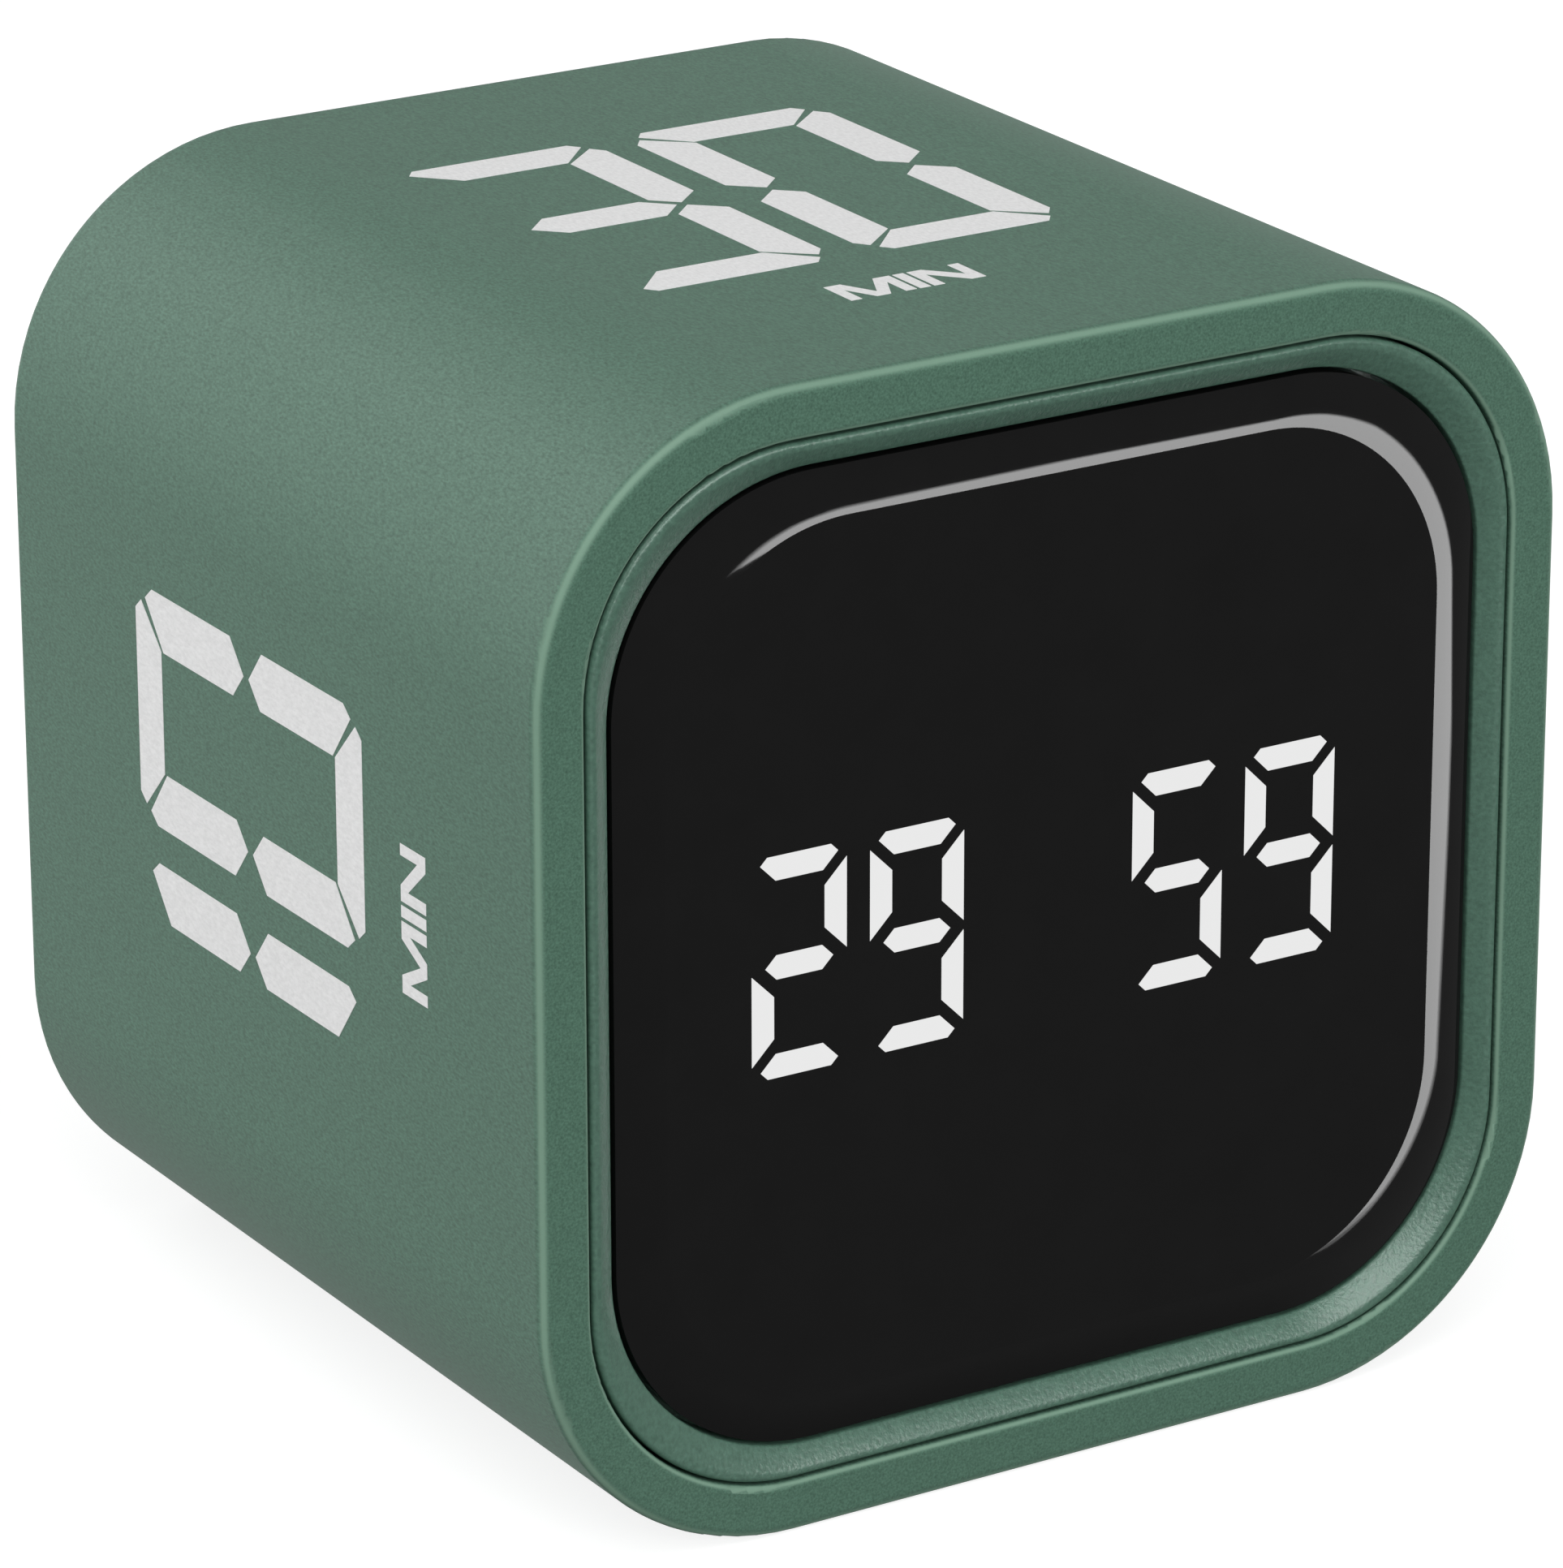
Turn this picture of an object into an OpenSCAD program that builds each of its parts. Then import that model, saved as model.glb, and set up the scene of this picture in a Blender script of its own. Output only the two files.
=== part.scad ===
// Digital cube timer. A rounded square sleeve holds a dark display window in front,
// and a recessed back cover with a mode switch, three buttons, a charging socket and sound holes.
// Turning the cube onto one of its four sides picks the preset time of the side that is on top.
// Millimetres. +Z is up, the display faces -Y, and the origin is the middle of the underside.

/* [Body] */
// Width of the cube, side to side
body_w = 60; // [58:0.5:80]
// Height of the cube
body_h = 60; // [58:0.5:80]
// Depth of the cube, display to back
body_d = 55; // [52:0.5:80]
// Radius of the four long corners
corner_r = 14.5; // [13:0.5:17]
// Thickness of the sleeve's wall
wall = 2; // [1.6:0.1:2.4]
// Rounding of the front outer edge
front_edge_r = 0.6; // [0.3:0.1:1.2]
// Rounding of the rear outer edge
rear_edge_r = 0.8; // [0.4:0.1:0.9]

/* [Front rim and bezel] */
// Width of the front rim, from the side to the seam
rim_w = 2.8; // [2.6:0.05:3.4]
// Rounding of the rim along the seam
rim_round = 0.35; // [0.2:0.05:0.5]
// Open seam between the rim and the bezel
seam_gap = 0.15; // [0.1:0.05:0.3]
// Depth of the pocket that takes the bezel
bezel_seat = 4; // [3.6:0.1:5]
// Width of the shoulder that the bezel sits on
shoulder_w = 2; // [1.4:0.1:2.4]
// Thickness of that shoulder
shoulder_t = 2; // [1.4:0.1:3]
// Width of the ring round the lens, with its lip and its slope
slope_w = 1.45; // [1:0.05:1.8]
// Width of the bezel's lip between the seam and the slope
lip_w = 0.45; // [0.4:0.05:0.7]
// Rounding of the bezel along the seam
bezel_round = 0.35; // [0.15:0.05:0.4]

/* [Lens] */
// Corner radius of the lens
lens_r = 11.5; // [10.5:0.1:13]
// Depth of the lens's edge behind the rim's face
lens_edge_depth = 0.8; // [0.5:0.05:1]
// Height of the lens's crown above its edge
lens_crown = 0.55; // [0.2:0.05:0.6]
// Width of the band where the crown falls away, at the sides
lens_band_w = 2.6; // [1.5:0.1:4]
// Width of that band at the top and bottom
lens_band_h = 2.4; // [1.5:0.1:4]
// Corner radius of the lens's flat middle
lens_flat_r = 10.5; // [8:0.1:14]
// Thickness of the lens at its edge
lens_t = 1.5; // [1.2:0.1:1.8]
// Gap round the lens in its pocket
lens_gap = 0.25; // [0.05:0.05:0.4]
// Thickness of the adhesive tape under the lens
tape_t = 0.2; // [0.1:0.05:0.3]
// Width of the adhesive tape
tape_w = 2.2; // [1.5:0.1:3]

/* [Display] */
// Width of one digit
digit_w = 5.45; // [4.5:0.05:5.8]
// Height of one digit
digit_h = 11.6; // [9:0.05:13]
// Width of a light bar
bar_w = 1.27; // [0.8:0.01:1.5]
// Distance between the two digits of a pair
digit_pitch = 6.8; // [6.5:0.05:7.5]
// Clear space between the two pairs of digits
pair_gap = 10; // [6:0.1:11]
// Distance of the digits' middle from the cube's middle, positive to the right
display_x = -0.65; // [-1:0.05:1]
// Distance of the digits' middle above the cube's middle
display_z = 0.45; // [-1:0.05:1]
// Border of the display module round the digits
module_border = 1.5; // [1:0.1:2.5]
// Gap between the display module and the lens
module_gap = 0.1; // [0.05:0.05:0.3]
// Length of the light bars, front to back
bar_depth = 2.2; // [1:0.1:2.4]

/* [Boards] */
// Thickness of the circuit boards
board_t = 1.6; // [1:0.2:2]
// How far the display board reaches over the shoulder
board_overlap = 1.4; // [0.8:0.1:1.8]
// Gap between a board and the screw bosses
board_gap = 0.4; // [0.2:0.1:1]
// Distance of the control board's holes from the screw bosses, sideways
control_step_x = 4.8; // [4.4:0.1:6]
// Distance of the control board's holes from the screw bosses, upright
control_step_z = 2.8; // [2.4:0.1:4]
// Edge of the control board outside its holes
control_edge = 3; // [2.2:0.1:3.4]
// Height of the control board's posts on the rear cover
control_post_h = 5.7; // [5.6:0.1:7]

/* [Rear cover] */
// Depth of the rear cover below the rear edge
rear_recess = 1.2; // [0.8:0.1:2]
// Thickness of the rear cover
cover_t = 2; // [1.8:0.1:2.6]
// Gap round the rear cover
cover_gap = 0.15; // [0.1:0.05:0.3]
// Rounding of the cover's outer edge
cover_round = 0.4; // [0.2:0.1:0.6]
// Radius of the sound holes
sound_hole_r = 0.7; // [0.4:0.1:0.9]
// Radius of the ring of sound holes
sound_ring_r = 2.8; // [2.2:0.1:4]
// Number of sound holes in the ring
sound_holes = 6; // [4:1:8]

/* [Controls] */
// Radius of a button
button_r = 4.5; // [3.6:0.1:5]
// Distance between buttons
button_pitch = 13; // [12.5:0.5:14]
// Height of the row of buttons, from the cube's middle
button_z = -4; // [-6:0.5:-2]
// Gap round a button in the rear cover
button_gap = 0.2; // [0.1:0.05:0.3]
// How far a button stands proud of the cover
button_proud = 0.5; // [0.2:0.1:0.7]
// Travel of a button
button_travel = 0.5; // [0.3:0.1:0.6]
// Width of the flange that keeps a button in
button_flange_w = 0.9; // [0.6:0.1:1.2]
// Length of the mode knob's thumb piece
knob_l = 6; // [5:0.1:7]
// Width of the mode knob's thumb piece
knob_w = 3.4; // [3:0.1:4]
// Travel of the mode knob to each side of its middle place
knob_travel = 2; // [1.5:0.1:2]
// Gap round the mode knob in its slot
knob_gap = 0.2; // [0.1:0.05:0.3]

/* [Battery] */
// Width of the battery pouch
battery_w = 28; // [20:0.5:30]
// Height of the battery pouch
battery_h = 34; // [24:0.5:35]
// Thickness of the battery pouch
battery_t = 8; // [4:0.5:10]
// Thickness of the foam pad behind the battery
pad_t = 1; // [0.5:0.1:2]

/* [Fasteners] */
// Radius of the rear cover's screws
screw_r = 1.15; // [0.9:0.05:1.3]
// Radius of their heads
screw_head_r = 2.1; // [1.8:0.05:2.3]
// Height of their heads
screw_head_h = 1; // [0.7:0.1:1.2]
// Length of their shanks
screw_l = 10; // [6:0.5:14]
// Radius of the bosses that take them
boss_r = 2.7; // [2.3:0.1:3]
// Radius of the boards' small screws
small_screw_r = 0.85; // [0.6:0.05:0.9]
// Radius of the small screws' heads
small_head_r = 1.6; // [1.3:0.1:1.8]
// Height of the small screws' heads
small_head_h = 1.1; // [0.8:0.1:1.3]
// Radius of the posts that take the small screws
post_r = 2; // [1.7:0.1:2.2]
// Room round a screw in its pilot hole
pilot_gap = 0.05; // [0.02:0.01:0.1]
// Room round a screw in a clearance hole
screw_gap = 0.25; // [0.15:0.05:0.4]

/* [Hidden] */
$fn = 64;

// Colours of the pieces
body_green = "#5d7a6c";
bezel_green = "#4f7060";
lens_black = "#1a1a1a";
light_white = "#e9e9e9";
board_green = "#1f5a3a";
part_black = "#26272a";
metal = "#c3c6c9";
brass = "#c9a85a";

// Depths, measured rearwards from the rim's front face
bezel_setback = 0.1;
lens_front = lens_edge_depth - lens_crown;
lens_back = lens_edge_depth + lens_t;
tape_back = lens_back + tape_t;
board_front = bezel_seat + shoulder_t;
board_back = board_front + board_t;
module_front = lens_back + module_gap;
cover_back = body_d - rear_recess;
cover_front = cover_back - cover_t;
control_back = cover_front - control_post_h;
control_front = control_back - board_t;
battery_back = control_front - pad_t;
battery_front = battery_back - battery_t;

// Outlines in the front view
seam_w = body_w - 2 * rim_w;
seam_h = body_h - 2 * rim_w;
bezel_w = seam_w - 2 * seam_gap;
bezel_h = seam_h - 2 * seam_gap;
bezel_r = corner_r - rim_w - seam_gap;
pocket_w = bezel_w - 2 * slope_w;
pocket_h = bezel_h - 2 * slope_w;
lens_w = pocket_w - 2 * lens_gap;
lens_h = pocket_h - 2 * lens_gap;
shoulder_open_w = seam_w - 2 * shoulder_w;
shoulder_open_h = seam_h - 2 * shoulder_w;
cover_w = body_w - 2 * (wall + cover_gap);
cover_h = body_h - 2 * (wall + cover_gap);
cover_r = corner_r - wall - cover_gap;
cover_edge = 3;
board_w = shoulder_open_w + 2 * board_overlap;
board_h = shoulder_open_h + 2 * board_overlap;
board_r = corner_r - rim_w - shoulder_w + board_overlap;

// Screw bosses in the four long corners, joined to the wall by a rib
boss_edge = 0.7;
head_gap = 0.25;
boss_rib_t = 1.6;
boss_reach = cover_r - screw_head_r - head_gap - boss_edge;
boss_x = body_w / 2 - corner_r + boss_reach * sqrt(0.5);
boss_z = body_h / 2 - corner_r + boss_reach * sqrt(0.5);
boss_rib_l = corner_r - wall / 2 - boss_reach;
head_sink = 1.2;
pilot_tip = 1;

// Display module and its digits
digits_w = 4 * digit_w + 2 * (digit_pitch - digit_w) + pair_gap;
module_w = digits_w + 2 * module_border;
module_h = digit_h + 2 * module_border;
module_room = 0.2;
digit_centres = [
    for (side = [-1, 1]) for (place = side < 0 ? [1, 0] : [0, 1])
        display_x + side * (pair_gap / 2 + digit_w / 2 + place * digit_pitch)
];
bar_cut = 0.1;
bar_tip = 0.4;
corner_space = 0.8;
middle_space = 0.25;
middle_inset = 0.78;
led_size = [1.6, 0.8, 0.6];

// Chips on the back of the display board
chip_foot = 0.15;
leg_w = 0.35;
leg_l = 0.9;
leg_t = 0.2;
leg_root = 0.2;
controller_w = 7;
controller_t = 1.4;
controller_legs = 8;
controller_pitch = 0.8;
driver_l = 10;
driver_w = 4;
driver_t = 1.5;
driver_legs = 8;
driver_pitch = 1.1;
chips_x = 9;
chips_z = 5;
sensor_w = 3;
sensor_t = 1;
sensor_z = -6;
sensor_mark_r = 0.25;
crystal_r = 1;
crystal_l = 6;
crystal_z = -5;
capacitor_l = 2;
capacitor_w = 1.2;
capacitor_t = 1;
capacitor_pitch = 4;
capacitor_z = 13;
capacitors = 5;
charger_legs = 4;
charger_pitch = 1.2;

// Posts behind the bezel, with their small screws through the display board
post_clear = 1.2;
post_step = boss_r + post_r + post_clear;
post_x = boss_x - post_step * sqrt(0.5);
post_z = boss_z - post_step * sqrt(0.5);
small_pilot_floor = 0.5;
small_screw_spare = 0.2;
small_screw_l = board_back - tape_back - small_pilot_floor - small_screw_spare;

// Control board and what stands on it
control_r = 2;
control_hole_x = boss_x - control_step_x;
control_hole_z = boss_z - control_step_z;
control_w = 2 * (control_hole_x + control_edge);
control_h = 2 * (control_hole_z + control_edge);
control_bite = 3.6;
control_screw_l = board_t + control_bite;
control_pilot_spare = 0.6;
control_pilot_l = control_bite + control_pilot_spare;
part_clear = 0.8;
switch_x = 9;
switch_drop = 9;
switch_z = control_h / 2 - switch_drop;
buzzer_x = -9.5;
buzzer_drop = 10.5;
buzzer_z = control_h / 2 - buzzer_drop;
charger_l = 5;
charger_w = 4;
charger_t = 1.5;
charger_x = control_hole_x - post_r - part_clear - charger_l / 2;
charger_rise = 5;
charger_z = charger_rise - control_hole_z;
buzzer_r = 6;
buzzer_gap = 0.3;
buzzer_h = control_post_h - buzzer_gap;
buzzer_mouth_r = 1.2;
usb_rise = 1.7;
usb_z = usb_rise - control_hole_z;
usb_w = 8.94;
usb_t = 3.26;
usb_wall = 0.3;
usb_floor = 1.2;
usb_mouth_depth = 0.4;
usb_room = 0.25;
usb_tongue_w = 6.6;
usb_tongue_t = 0.7;
usb_tongue_short = 1;

// Buttons and the switches under them
button_places = [-button_pitch, 0, button_pitch];
button_flange_t = 0.8;
button_seat_gap = 0.3;
button_edge_r = 0.5;
button_dish = 0.25;
button_stem_r = 2.2;
tact_w = 6;
tact_h = 3.2;
plunger_r = 1.7;
plunger_gap = 0.08;
plunger_root = 1.6;
plunger_base = tact_h - plunger_root;
button_flange_back = cover_front - button_seat_gap;
button_flange_front = button_flange_back - button_flange_t;
button_stem_h = 0.6;
button_stem_front = button_flange_front - button_stem_h;

// Mode switch and its knob
case_l = 12.8;
case_w = 6;
case_h = 3.9;
case_wall = 0.8;
lever_w = 2.2;
lever_foot_l = 4.2;
lever_foot_h = 1.6;
lever_gap = 0.15;
knob_flange_t = 0.7;
knob_flange_gap = 0.25;
knob_proud = 0.6;
knob_edge_r = 0.6;
knob_roof = 1.1;
knob_grips = 3;
knob_grip_w = 0.6;
knob_grip_depth = 0.3;
knob_flange_lip = 0.8;
knob_flange_back = cover_front - knob_flange_gap;
knob_flange_front = knob_flange_back - knob_flange_t;
knob_back = cover_back + knob_proud;
lever_back = knob_back - knob_roof;

// Battery, its lead and the ribbon between the boards
battery_edge_r = 2.4;
guard_t = 1.2;
guard_inset = 2;
pad_inset = 3;
lead_r = 0.5;
lead_pitch = 2;
plug_w = 5.6;
plug_h = 4.4;
plug_l = 4;
plug_nose_l = 3;
socket_wall = 0.7;
socket_floor = 1;
plug_room = 0.1;
plug_x = -(control_hole_x - small_head_r - part_clear - plug_w / 2);
plug_rise = 0.4;
plug_z = plug_rise - control_hole_z;
lead_clear = 0.2;
guard_bottom = plug_z + plug_h / 2 + lead_clear + 2 * lead_r;
battery_z = guard_bottom + guard_t + battery_h / 2;
lead_turn_r = (guard_bottom - lead_r - plug_z) / 2;
socket_front = control_front - socket_floor - plug_nose_l - plug_room;
plug_front = socket_front - plug_l;
lead_out = 1.5;
ribbon_w = 9;
ribbon_t = 0.3;
ribbon_bow = 3.5;
ribbon_steps = 24;
ribbon_socket_w = 12;
ribbon_socket_t = 3;
ribbon_socket_h = 2.4;
ribbon_depth = 1.6;
ribbon_room = 0.1;
ribbon_x = control_hole_x - small_head_r - part_clear - ribbon_socket_w / 2;
ribbon_rise = 0.5;
ribbon_z = ribbon_rise - control_hole_z;

// Places a front-view outline as a slab between two depths behind the rim's face
module slab(front, back) {
    translate([0, back - body_d / 2, body_h / 2]) rotate([90, 0, 0])
        linear_extrude(back - front) children();
}

// Stands a turned piece on its place in the front view, with its axis pointing rearwards from a depth
module rearward(x, z, depth) {
    translate([x, depth - body_d / 2, body_h / 2 + z]) rotate([-90, 0, 0]) children();
}

module at(x, z) {
    translate([x, z]) children();
}

module mirrored_four(x, z) {
    for (sx = [-1, 1], sz = [-1, 1]) translate([sx * x, sz * z]) children();
}

module rounded_rect(w, h, r) {
    square([w - 2 * r, h], center = true);
    square([w, h - 2 * r], center = true);
    mirrored_four(w / 2 - r, h / 2 - r) circle(r);
}

module stadium(w, h) {
    square([w - h, h], center = true);
    for (s = [-1, 1]) translate([s * (w - h) / 2, 0]) circle(h / 2);
}

// What a rounding of radius r takes off a square corner at the origin; the body lies towards [sx, sy]
module corner_waste(r, sx, sy) {
    difference() {
        translate([sx > 0 ? -1 : -r, sy > 0 ? -1 : -r]) square(r + 1);
        translate([sx * r, sy * r]) circle(r);
    }
}

// Sweeps a section round a rounded rectangle. The section's x runs outwards from the
// corner centres, and its y becomes the local z.
module swept_frame(w, h, r) {
    dx = w / 2 - r;
    dy = h / 2 - r;
    for (k = [0:3])
        translate([k == 0 || k == 3 ? dx : -dx, k < 2 ? dy : -dy, 0]) rotate([0, 0, 90 * k]) {
            rotate_extrude(angle = 90) children();
            rotate([90, 0, 0]) linear_extrude(k % 2 == 0 ? 2 * dy : 2 * dx) children();
        }
}

// A local frame with z = 0 on the rear face and z = body_d on the rim's front face
module from_rear() {
    translate([0, body_d / 2, body_h / 2]) rotate([90, 0, 0]) children();
}

// A pan-head screw whose head sits at the origin, with the shank along +z
module screw(shank_r, shank_l, head_r, head_h) {
    slot_l = head_r * 1.2;
    slot_w = head_r * 0.3;
    cylinder(r = shank_r, h = shank_l);
    difference() {
        translate([0, 0, -head_h]) rotate_extrude() difference() {
            square([head_r, head_h]);
            translate([head_r, 0]) corner_waste(head_h * 0.45, -1, 1);
        }
        for (a = [0, 90]) rotate(a) translate([-slot_l / 2, -slot_w / 2, -head_h - 1])
            cube([slot_l, slot_w, 1 + head_h * 0.5]);
    }
}

// Section of the sleeve: wall, front rim and the shoulder that carries the bezel
module shell_section() {
    difference() {
        union() {
            translate([corner_r - wall, 0]) square([wall, body_d]);
            translate([corner_r - rim_w, body_d - board_front]) square([rim_w, board_front]);
            translate([corner_r - rim_w - shoulder_w, body_d - board_front])
                square([shoulder_w + rim_w / 2, shoulder_t]);
        }
        translate([corner_r, body_d]) corner_waste(front_edge_r, -1, -1);
        translate([corner_r - rim_w, body_d]) corner_waste(rim_round, 1, -1);
        translate([corner_r, 0]) corner_waste(rear_edge_r, -1, 1);
        translate([corner_r - wall, 0]) corner_waste(rear_edge_r / 2, 1, 1);
    }
}

module boss_rib() {
    translate([0, -boss_rib_t / 2]) square([boss_rib_l, boss_rib_t]);
}

module shell() {
    color(body_green) difference() {
        union() {
            from_rear() swept_frame(body_w, body_h, corner_r) shell_section();
            slab(board_front - shoulder_t / 2, cover_front) mirrored_four(boss_x, boss_z) circle(boss_r);
            slab(board_front - shoulder_t / 2, cover_front) for (sx = [-1, 1], sz = [-1, 1])
                translate([sx * boss_x, sz * boss_z]) rotate(sx > 0 ? sz * 45 : 180 - sz * 45) boss_rib();
        }
        slab(cover_back - head_sink - screw_l - pilot_tip, cover_front + 1) mirrored_four(boss_x, boss_z)
            circle(screw_r + pilot_gap);
    }
}

// The opening of the bezel: slopes from the lip down to the edge of the lens
module bezel_slope() {
    hull() {
        slab(lens_edge_depth - 0.01, lens_edge_depth) rounded_rect(pocket_w, pocket_h, lens_r, $fn = 128);
        slab(bezel_setback - 0.02, bezel_setback) rounded_rect(bezel_w - 2 * lip_w, bezel_h - 2 * lip_w, lens_r,
            $fn = 128);
    }
}

module bezel_section() {
    difference() {
        translate([bezel_r - slope_w - 1, body_d - bezel_seat])
            square([slope_w + 1, bezel_seat - bezel_setback]);
        translate([bezel_r, body_d - bezel_setback]) corner_waste(bezel_round, -1, -1);
    }
}

module front_bezel() {
    color(bezel_green) difference() {
        union() {
            from_rear() swept_frame(bezel_w, bezel_h, bezel_r) bezel_section();
            slab(bezel_setback + bezel_round, bezel_seat)
                rounded_rect(bezel_w - slope_w, bezel_h - slope_w, bezel_r - slope_w / 2);
            slab(tape_back, board_front) mirrored_four(post_x, post_z) circle(post_r);
        }
        bezel_slope();
        slab(lens_edge_depth - 0.005, tape_back) rounded_rect(pocket_w, pocket_h, lens_r);
        slab(tape_back - 1, bezel_seat + 1) at(display_x, display_z)
            square([module_w + 2 * module_room, module_h + 2 * module_room], center = true);
        slab(tape_back + small_pilot_floor, board_front + 1) mirrored_four(post_x, post_z)
            circle(small_screw_r + pilot_gap);
    }
}

module lens_tape() {
    color("#141414") slab(lens_back, tape_back) difference() {
        rounded_rect(lens_w, lens_h, lens_r - lens_gap);
        rounded_rect(lens_w - 2 * tape_w, lens_h - 2 * tape_w, lens_r - lens_gap - tape_w);
    }
}

// Smoked window with a flat middle and a band that falls away to its edge
module lens() {
    band_steps = 4;
    color(lens_black) hull() {
        slab(lens_edge_depth, lens_back) rounded_rect(lens_w, lens_h, lens_r - lens_gap, $fn = 128);
        for (k = [0:band_steps - 1]) {
            inset = 1 - k / band_steps;
            drop = lens_crown * (1 - (1 - k / band_steps) * (1 + k / band_steps * 0.7));
            slab(lens_front + drop, lens_front + drop + 0.01)
                rounded_rect(lens_w - 2 * inset * lens_band_w, lens_h - 2 * inset * lens_band_h,
                    (lens_r - lens_gap) * (1 - inset) + lens_flat_r * inset, $fn = 96);
        }
    }
}

// Upright light bar with its outer edge on x = 0, from the digit's top edge at y = 0 downwards
module upright_bar() {
    far = digit_h / 2 - middle_space;
    polygon([[0, -corner_space], [bar_w, -corner_space - bar_w], [bar_w, bar_w - far], [0, -far]]);
}

// Level light bar along the digit's top edge
module level_bar() {
    half = digit_w / 2 - bar_cut;
    polygon([
        [-half + 2 * bar_tip, 0], [half - 2 * bar_tip, 0], [half - bar_tip, -bar_tip],
        [half - bar_w, -bar_w], [bar_w - half, -bar_w], [bar_tip - half, -bar_tip]
    ]);
}

module middle_bar() {
    half = digit_w / 2 - middle_inset;
    polygon([
        [-half, 0], [bar_w / 2 - half, bar_w / 2], [half - bar_w / 2, bar_w / 2],
        [half, 0], [half - bar_w / 2, -bar_w / 2], [bar_w / 2 - half, -bar_w / 2]
    ]);
}

// The seven bars of one digit, centred
module digit_bars() {
    for (s = [0, 1]) {
        mirror([0, s]) translate([0, digit_h / 2]) level_bar();
        for (t = [0, 1]) mirror([0, s]) mirror([t, 0]) translate([-digit_w / 2, digit_h / 2]) upright_bar();
    }
    middle_bar();
}

module all_bars() {
    for (x = digit_centres) at(x, display_z) digit_bars();
}

module display_reflector() {
    color(part_black) slab(module_front, board_front) difference() {
        at(display_x, display_z) square([module_w, module_h], center = true);
        all_bars();
    }
}

module light_bars() {
    color(light_white) slab(module_front, module_front + bar_depth) all_bars();
}

// One light-emitting chip behind the middle of each bar
module display_leds() {
    upright_x = digit_w / 2 - bar_w / 2;
    upright_z = (digit_h / 2 - middle_space - corner_space) / 2 + middle_space;
    level_z = digit_h / 2 - bar_w / 2;
    color("#f2eed8") slab(board_front - led_size[2], board_front) for (x = digit_centres) at(x, display_z) {
        for (z = [-level_z, 0, level_z]) at(0, z) square([led_size[0], led_size[1]], center = true);
        for (sx = [-1, 1], sz = [-1, 1]) at(sx * upright_x, sz * upright_z)
            square([led_size[1], led_size[0]], center = true);
    }
}

module display_board() {
    color(board_green) slab(board_front, board_back) difference() {
        rounded_rect(board_w, board_h, board_r);
        mirrored_four(boss_x, boss_z) circle(boss_r + board_gap);
        mirrored_four(post_x, post_z) circle(small_screw_r + screw_gap);
    }
}

module display_board_screws() {
    color(metal) mirrored_places(post_x, post_z, board_back) rotate([180, 0, 0])
        screw(small_screw_r, small_screw_l, small_head_r, small_head_h);
}

// Four places in the front view with the local axis pointing rearwards from a depth
module mirrored_places(x, z, depth) {
    for (sx = [-1, 1], sz = [-1, 1]) rearward(sx * x, sz * z, depth) children();
}

// A chip with rows of legs on two sides, or on all four, lying on a board; z points away from the board
module chip(l, w, h, legs, pitch, sides) {
    translate([-l / 2, -w / 2, chip_foot]) cube([l, w, h - chip_foot]);
    for (s = [0:sides - 1]) rotate(360 / sides * s) for (k = [0:legs - 1]) {
        side = s % 2 == 0 || sides == 2 ? w : l;
        translate([(k - (legs - 1) / 2) * pitch - leg_w / 2, side / 2 - leg_root, 0])
            cube([leg_w, leg_l, chip_foot + leg_t]);
    }
}

module microcontroller() {
    color(part_black) rearward(-chips_x, chips_z, board_back)
        chip(controller_w, controller_w, controller_t, controller_legs, controller_pitch, 4);
}

module led_driver() {
    color(part_black) rearward(chips_x, chips_z, board_back)
        chip(driver_l, driver_w, driver_t, driver_legs, driver_pitch, 2);
}

// A small square sensor with a round mark moulded on its first corner
module gravity_sensor() {
    mark_at = sensor_w / 2 - 2 * sensor_mark_r;
    color("#3a3b3e") rearward(0, sensor_z, board_back) {
        translate([-sensor_w / 2, -sensor_w / 2, 0]) cube([sensor_w, sensor_w, sensor_t]);
        translate([-mark_at, mark_at, sensor_t / 2]) cylinder(r = sensor_mark_r, h = sensor_t * 0.55);
    }
}

// A metal can lying on the board, with a stepped end
module clock_crystal() {
    step_l = crystal_r * 0.3;
    color(metal) rearward(-chips_x, crystal_z, board_back)
        translate([-crystal_l / 2, 0, crystal_r]) rotate([0, 90, 0]) {
            cylinder(r = crystal_r, h = crystal_l);
            translate([0, 0, -step_l]) cylinder(r = crystal_r * 0.8, h = 2 * step_l);
        }
}

module display_capacitors() {
    color(brass) for (k = [1:capacitors])
        rearward((k - (capacitors + 1) / 2) * capacitor_pitch, capacitor_z, board_back)
            translate([-capacitor_l / 2, -capacitor_w / 2, 0])
                cube([capacitor_l, capacitor_w, capacitor_t]);
}

module ribbon_socket() {
    slit = [ribbon_w + 2 * ribbon_room, ribbon_t + 2 * ribbon_room, ribbon_depth + ribbon_room];
    difference() {
        translate([-ribbon_socket_w / 2, -ribbon_socket_t / 2, 0])
            cube([ribbon_socket_w, ribbon_socket_t, ribbon_socket_h]);
        translate([-slit[0] / 2, -slit[1] / 2, ribbon_socket_h - slit[2]])
            cube([slit[0], slit[1], slit[2] + 1]);
    }
}

module ribbon_sockets() {
    color("#e4e0d2") {
        rearward(ribbon_x, ribbon_z, board_back) ribbon_socket();
        rearward(ribbon_x, ribbon_z, control_front) rotate([180, 0, 0]) ribbon_socket();
    }
}

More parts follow.
